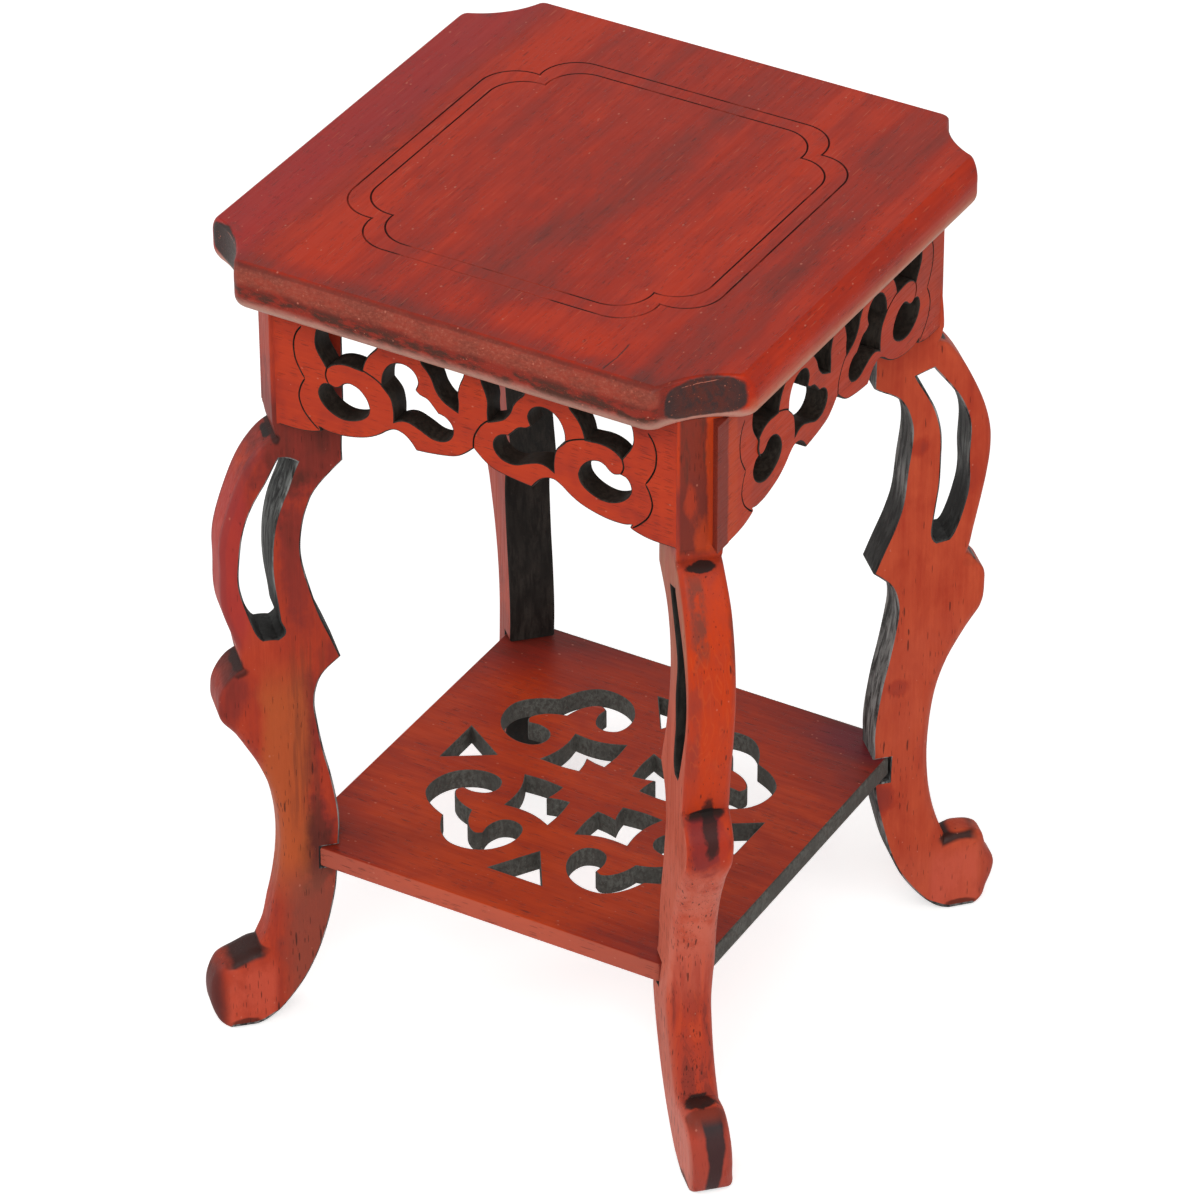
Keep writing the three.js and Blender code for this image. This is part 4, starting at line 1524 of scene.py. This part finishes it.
def leg_marks(wood, distance, across, wobble, quarter):
    """Burnt residue in the notches of the outer edge and on the toe."""
    soot = LEG_LOOKS[quarter]["soot"]
    side = abs(across)
    edge = shift(side, 3.75, 3.3)
    beside = 1.0 - edge
    for height, half, wide in RESIDUE:
        lens = ellipse(across, wood.z, (0.0, height), (wide, half), 0.3, wobble)
        wood.mark(lens * edge, SOOT, 0.96)
    if quarter == NEAR_LEG:
        knee_marks(wood, distance, across, wobble, edge)
        toe_marks(wood, distance, across, wobble, edge)
    toe_height = window(wood.z, 12.2, 15.2, 0.4)
    if quarter == NEAR_LEG:
        toe_top = ellipse(across, distance, (0.3, 60.5), (2.6, 1.8), 0.3, wobble)
    else:
        toe_top = window(distance + wobble * 1.4, 58.6, 63.0, 2.2)
    wood.mark(toe_top * toe_height * edge, SOOT, 0.94)
    toe_line = distance + wobble * 1.2
    toe_rim = shift(toe_line, 63.6, 66.4) * shift(wood.z, 14.8, 12.5)
    wood.mark(toe_rim, (0.080, 0.020, 0.018), 0.90 * soot)
    crown = ellipse(distance, wood.z, (60.0, 15.0), (2.2, 0.9), 0.6, wobble)
    wood.mark(crown * beside, DARK, 0.4 + 0.5 * soot)
    collar = ellipse(distance, wood.z, (54.5, 115.6), (0.7, 1.0), 0.6, wobble)
    wood.mark(collar, DARK, 0.9 * soot)
    knee = ellipse(distance, wood.z, (61.2, 71.8), (1.3, 0.8), 0.8, wobble)
    wood.mark(knee * beside, DARK, 0.8 * soot)
    if quarter != NEAR_LEG:
        knee_line = distance + wobble * 1.5
        knee_top = shift(knee_line, 65.0, 61.5) * window(wood.z, 69.5, 73.5, 1.0) * edge
        wood.mark(knee_top, DARK, 0.3 + 0.5 * soot)
    sole = ellipse(distance, wood.z, (61.6, 1.1), (2.6, 0.8), 0.5, wobble * 0.5)
    wood.mark(sole * beside, DARK, 0.75)
    foot = shift(wood.z, 0.9, 0.2)
    wood.mark(foot, DARK, 0.6)


def knee_marks(wood, distance, across, wobble, edge):
    """The near leg's knee: dark red wood on both sides of a narrow black run."""
    outer = edge * shift(distance, 61.0, 62.0)
    halo = ellipse(across, wood.z, (-0.4, 67.8), (3.3, 5.6), 0.6, wobble)
    wood.mark(halo * outer, (0.16, 0.016, 0.020), 0.75)
    clear = ellipse(across, wood.z, (2.1, 67.0), (0.8, 3.6), 0.6, wobble)
    wood.mark(clear * outer, (0.42, 0.032, 0.010), 0.8)
    smear = ellipse(across, wood.z, (0.2, 69.6), (1.1, 4.2), 0.5, wobble * 1.6)
    wood.mark(smear * edge, SOOT, 0.85)


def toe_marks(wood, distance, across, wobble, edge):
    """The near leg's toe: a black run down its front, widest at the top."""
    front = edge * shift(distance, 61.6, 62.3) * shift(wood.z, 16.5, 15.5)
    wood.mark(front, (0.47, 0.052, 0.026), 0.85)
    wood.mark(front * shift(wood.z, 11.0, 13.8), (0.13, 0.026, 0.016), 0.80)
    middle = shift(wood.z, 2.0, 11.0, -0.3, 0.7)
    ragged_across = across - middle + wobble * 0.8
    width = shift(wood.z, 6.5, 10.5, 1.2, 1.8)
    run = shift(abs(ragged_across) - width, 0.35, -0.25)
    wood.mark(run * front * shift(wood.z, 14.4, 12.8), (0.015, 0.019, 0.021), 0.95)


# Burnt walls, lines and pins

def burnt(name, seed, dark, light, stretch, speckle, blackest=None):
    """A wall scorched by the cut: dark, with scoring, ash and specks, and blackest around one height."""
    wood = Wood(name, "Z", seed)
    scoring = noise(wood.grain, stretch, 4.0, 0.65, 0.4)
    clouds = noise(wood.grain, (0.12, 0.2, 0.2), 2.0)
    ash = noise(wood.grain, (1.9, 1.9, 1.9), 3.0, 0.75)
    wood.fine = scoring
    wood.colour = blend_colours(shift(scoring, 0.36, 0.64), dark, light)
    wood.mark(shift(clouds, 0.4, 0.66), dark, 0.6)
    wood.mark(shift(ash, 0.6, 0.74), tuple(1.7 * part + 0.02 for part in light), speckle)
    wood.mark(shift(ash, 0.4, 0.3), dark, 0.7)
    if blackest:
        wood.mark(window(wood.z, blackest - 6.0, blackest + 3.0, 8.0), dark, 0.85)
    wood.relief = ash * 0.8
    return wood.finish(0.54, 0.68, 0.06, 0.15)


def shelf_wall():
    """Walls of the shelf's cut-outs, scorched brown with much ash."""
    return burnt("shelf_wall", 6, (0.055, 0.050, 0.044), (0.110, 0.108, 0.096), (1.1, 1.6, 1.6), 0.55)


def apron_wall():
    """Walls of the aprons' cut-outs, scorched almost black."""
    return burnt("apron_wall", 20, (0.012, 0.009, 0.007), (0.034, 0.027, 0.021), (0.3, 1.5, 1.5), 0.3)


def black_leg_wall():
    """Soot-black walls."""
    dark = (0.009, 0.008, 0.007)
    light = (0.030, 0.026, 0.022)
    return burnt("leg_wall_black", 40, dark, light, (0.16, 1.0, 1.0), 0.25)


def grey_leg_wall():
    """Walls that are grey with ash, and black in the lower end of the long slot."""
    dark = (0.012, 0.011, 0.010)
    light = (0.270, 0.275, 0.265)
    return burnt("leg_wall_grey", 41, dark, light, (0.13, 1.0, 1.0), 0.3, blackest=80.0)


def engraved_line():
    """The scorched floor of the board's engraved lines, faded where the tool ran light."""
    wood = Wood("engraved_line", "Y", 7)
    pressure = noise(wood.mm, (0.09, 0.09, 0.09), 3.0, 0.6)
    wood.fine = noise(wood.mm, (1.5, 1.5, 1.5), 2.0)
    front = shift(wood.y, -22.0, -31.0)
    middle = window(wood.x, -13.0, 7.0, 5.0)
    faded = pressure + front * 0.06 + front * middle * 0.22
    wood.colour = blend_colours(shift(faded, 0.5, 0.68), (0.045, 0.01, 0.008), (0.3, 0.032, 0.018))
    wood.mark(shift(wood.fine, 0.52, 0.7), (0.12, 0.018, 0.012), 0.6)
    return wood.finish(0.6, 0.72, 0.02, 0.12)


def bamboo():
    """Pale split bamboo with fine fibres along the pin."""
    wood = Wood("bamboo_pin", "Z", 3)
    wood.fine = noise(wood.grain, (0.2, 6.0, 6.0), 3.0)
    wood.colour = blend_colours(shift(wood.fine, 0.3, 0.7), (0.55, 0.36, 0.16), (0.36, 0.21, 0.08))
    return wood.finish(0.5, 0.62, 0.04, 0.4)


# Camera, light and surroundings

def view_direction(azimuth, elevation):
    """Unit vector from the stand to a place at these degrees to the right of the front and above level."""
    turn = math.radians(azimuth)
    rise = math.radians(elevation)
    return Vector((math.sin(turn) * math.cos(rise), -math.cos(turn) * math.cos(rise), math.sin(rise)))


def photo_camera():
    """The photograph's long lens, to the right of the front and above."""
    roll = math.radians(CAMERA_ROLL)
    back = view_direction(CAMERA_AZIMUTH, CAMERA_ELEVATION)
    right = (-back).cross(Vector((0, 0, 1))).normalized()
    down = (-back).cross(right)
    image_right = right * math.cos(roll) + down * math.sin(roll)
    image_down = down * math.cos(roll) - right * math.sin(roll)
    aim = STAND_MIDDLE - image_right * AIM_LEFT + image_down * AIM_DOWN
    data = bpy.data.cameras.new("camera")
    data.sensor_width = 36.0
    data.lens = CAMERA_LENS
    data.clip_start = 0.05
    data.clip_end = 50.0
    camera = bpy.data.objects.new("camera", data)
    turn = Matrix((image_right, -image_down, back)).transposed().to_4x4()
    camera.matrix_world = Matrix.Translation(aim + back * CAMERA_DISTANCE) @ turn
    bpy.context.collection.objects.link(camera)
    bpy.context.scene.camera = camera


def soft_box(name, azimuth, elevation, distance, size, watts):
    """A square soft box aimed at the stand's middle."""
    data = bpy.data.lights.new(name, "AREA")
    data.shape = "SQUARE"
    data.size = size
    data.energy = watts
    lamp = bpy.data.objects.new(name, data)
    back = view_direction(azimuth, elevation)
    lamp.location = STAND_MIDDLE + back * distance
    lamp.rotation_mode = "QUATERNION"
    lamp.rotation_quaternion = back.to_track_quat("Z", "Y")
    bpy.context.collection.objects.link(lamp)


def light_path(tree, kind):
    """1 on the rays of one kind."""
    return Value(node(tree, "ShaderNodeLightPath").outputs[kind])


def surroundings():
    """White to the camera and in reflections, and dimmer as a light on the object."""
    world = bpy.data.worlds.new("studio")
    bpy.context.scene.world = world
    world.use_nodes = True
    tree = world.node_tree
    tree.nodes.clear()
    background = node(tree, "ShaderNodeBackground")
    background.inputs["Color"].default_value = (1, 1, 1, 1)
    white = calc("MAXIMUM", light_path(tree, "Is Camera Ray"), light_path(tree, "Is Glossy Ray"))
    feed(background.inputs["Strength"], shift(white, 0.0, 1.0, ROOM_LIGHT, 1.0, "LINEAR"))
    output = node(tree, "ShaderNodeOutputWorld")
    feed(output.inputs[0], Value(background.outputs[0]))


def floor():
    """A wide white table. The camera sees it a little brighter, up to white."""
    bpy.ops.mesh.primitive_plane_add(size=FLOOR_SIZE, location=(0, 0, -FLOOR_GAP))
    table = bpy.context.object
    table.name = "studio_floor"
    material, tree = new_tree("studio_white")
    shader = node(tree, "ShaderNodeBsdfDiffuse")
    shader.inputs["Color"].default_value = (0.93, 0.93, 0.92, 1)
    glow = node(tree, "ShaderNodeEmission")
    glow.inputs["Color"].default_value = (1, 1, 1, 1)
    feed(glow.inputs["Strength"], light_path(tree, "Is Camera Ray") * FLOOR_GLOW)
    both = node(tree, "ShaderNodeAddShader")
    feed(both.inputs[0], Value(shader.outputs[0]))
    feed(both.inputs[1], Value(glow.outputs[0]))
    output = node(tree, "ShaderNodeOutputMaterial")
    feed(output.inputs[0], Value(both.outputs[0]))
    table.data.materials.append(material)


# Assembly

def finish_piece(piece, covered):
    """Ties a piece to the stand and hides the solid it covers."""
    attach(piece, "root")
    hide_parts(covered)


def build():
    """Makes every piece of the stand. The right and left legs have grey walls, the others black ones."""
    board = top_board([board_wood(), engraved_line()])
    finish_piece(board, "top_board")
    lower = shelf([shelf_wood(), shelf_wall()])
    finish_piece(lower, "shelf")
    dark_wall = apron_wall()
    for turn, side in enumerate(SIDES):
        panel = apron(f"{side}_apron", turn, [apron_wood(f"apron_{side}_wood", turn), dark_wall])
        finish_piece(panel, f"apron_{side}")
    leg_walls = [black_leg_wall(), grey_leg_wall()]
    for quarter, corner in enumerate(CORNERS):
        materials = [leg_wood(f"leg_{corner}_wood", quarter), leg_walls[quarter % 2]]
        finish_piece(leg(f"{corner}_leg", quarter, materials), f"leg_{corner}")
    pin_material = bamboo()
    for turn, side in enumerate(SIDES):
        for letter in ("a", "b"):
            covered = f"pin_{side}_{letter}"
            made = pin(f"{side}_pin_{letter}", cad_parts[covered], turn, [pin_material])
            finish_piece(made, covered)


build()
floor()
surroundings()
for box_name, box_settings in SOFT_BOXES.items():
    soft_box(box_name, *box_settings)
photo_camera()
bpy.context.scene.view_settings.view_transform = "Standard"
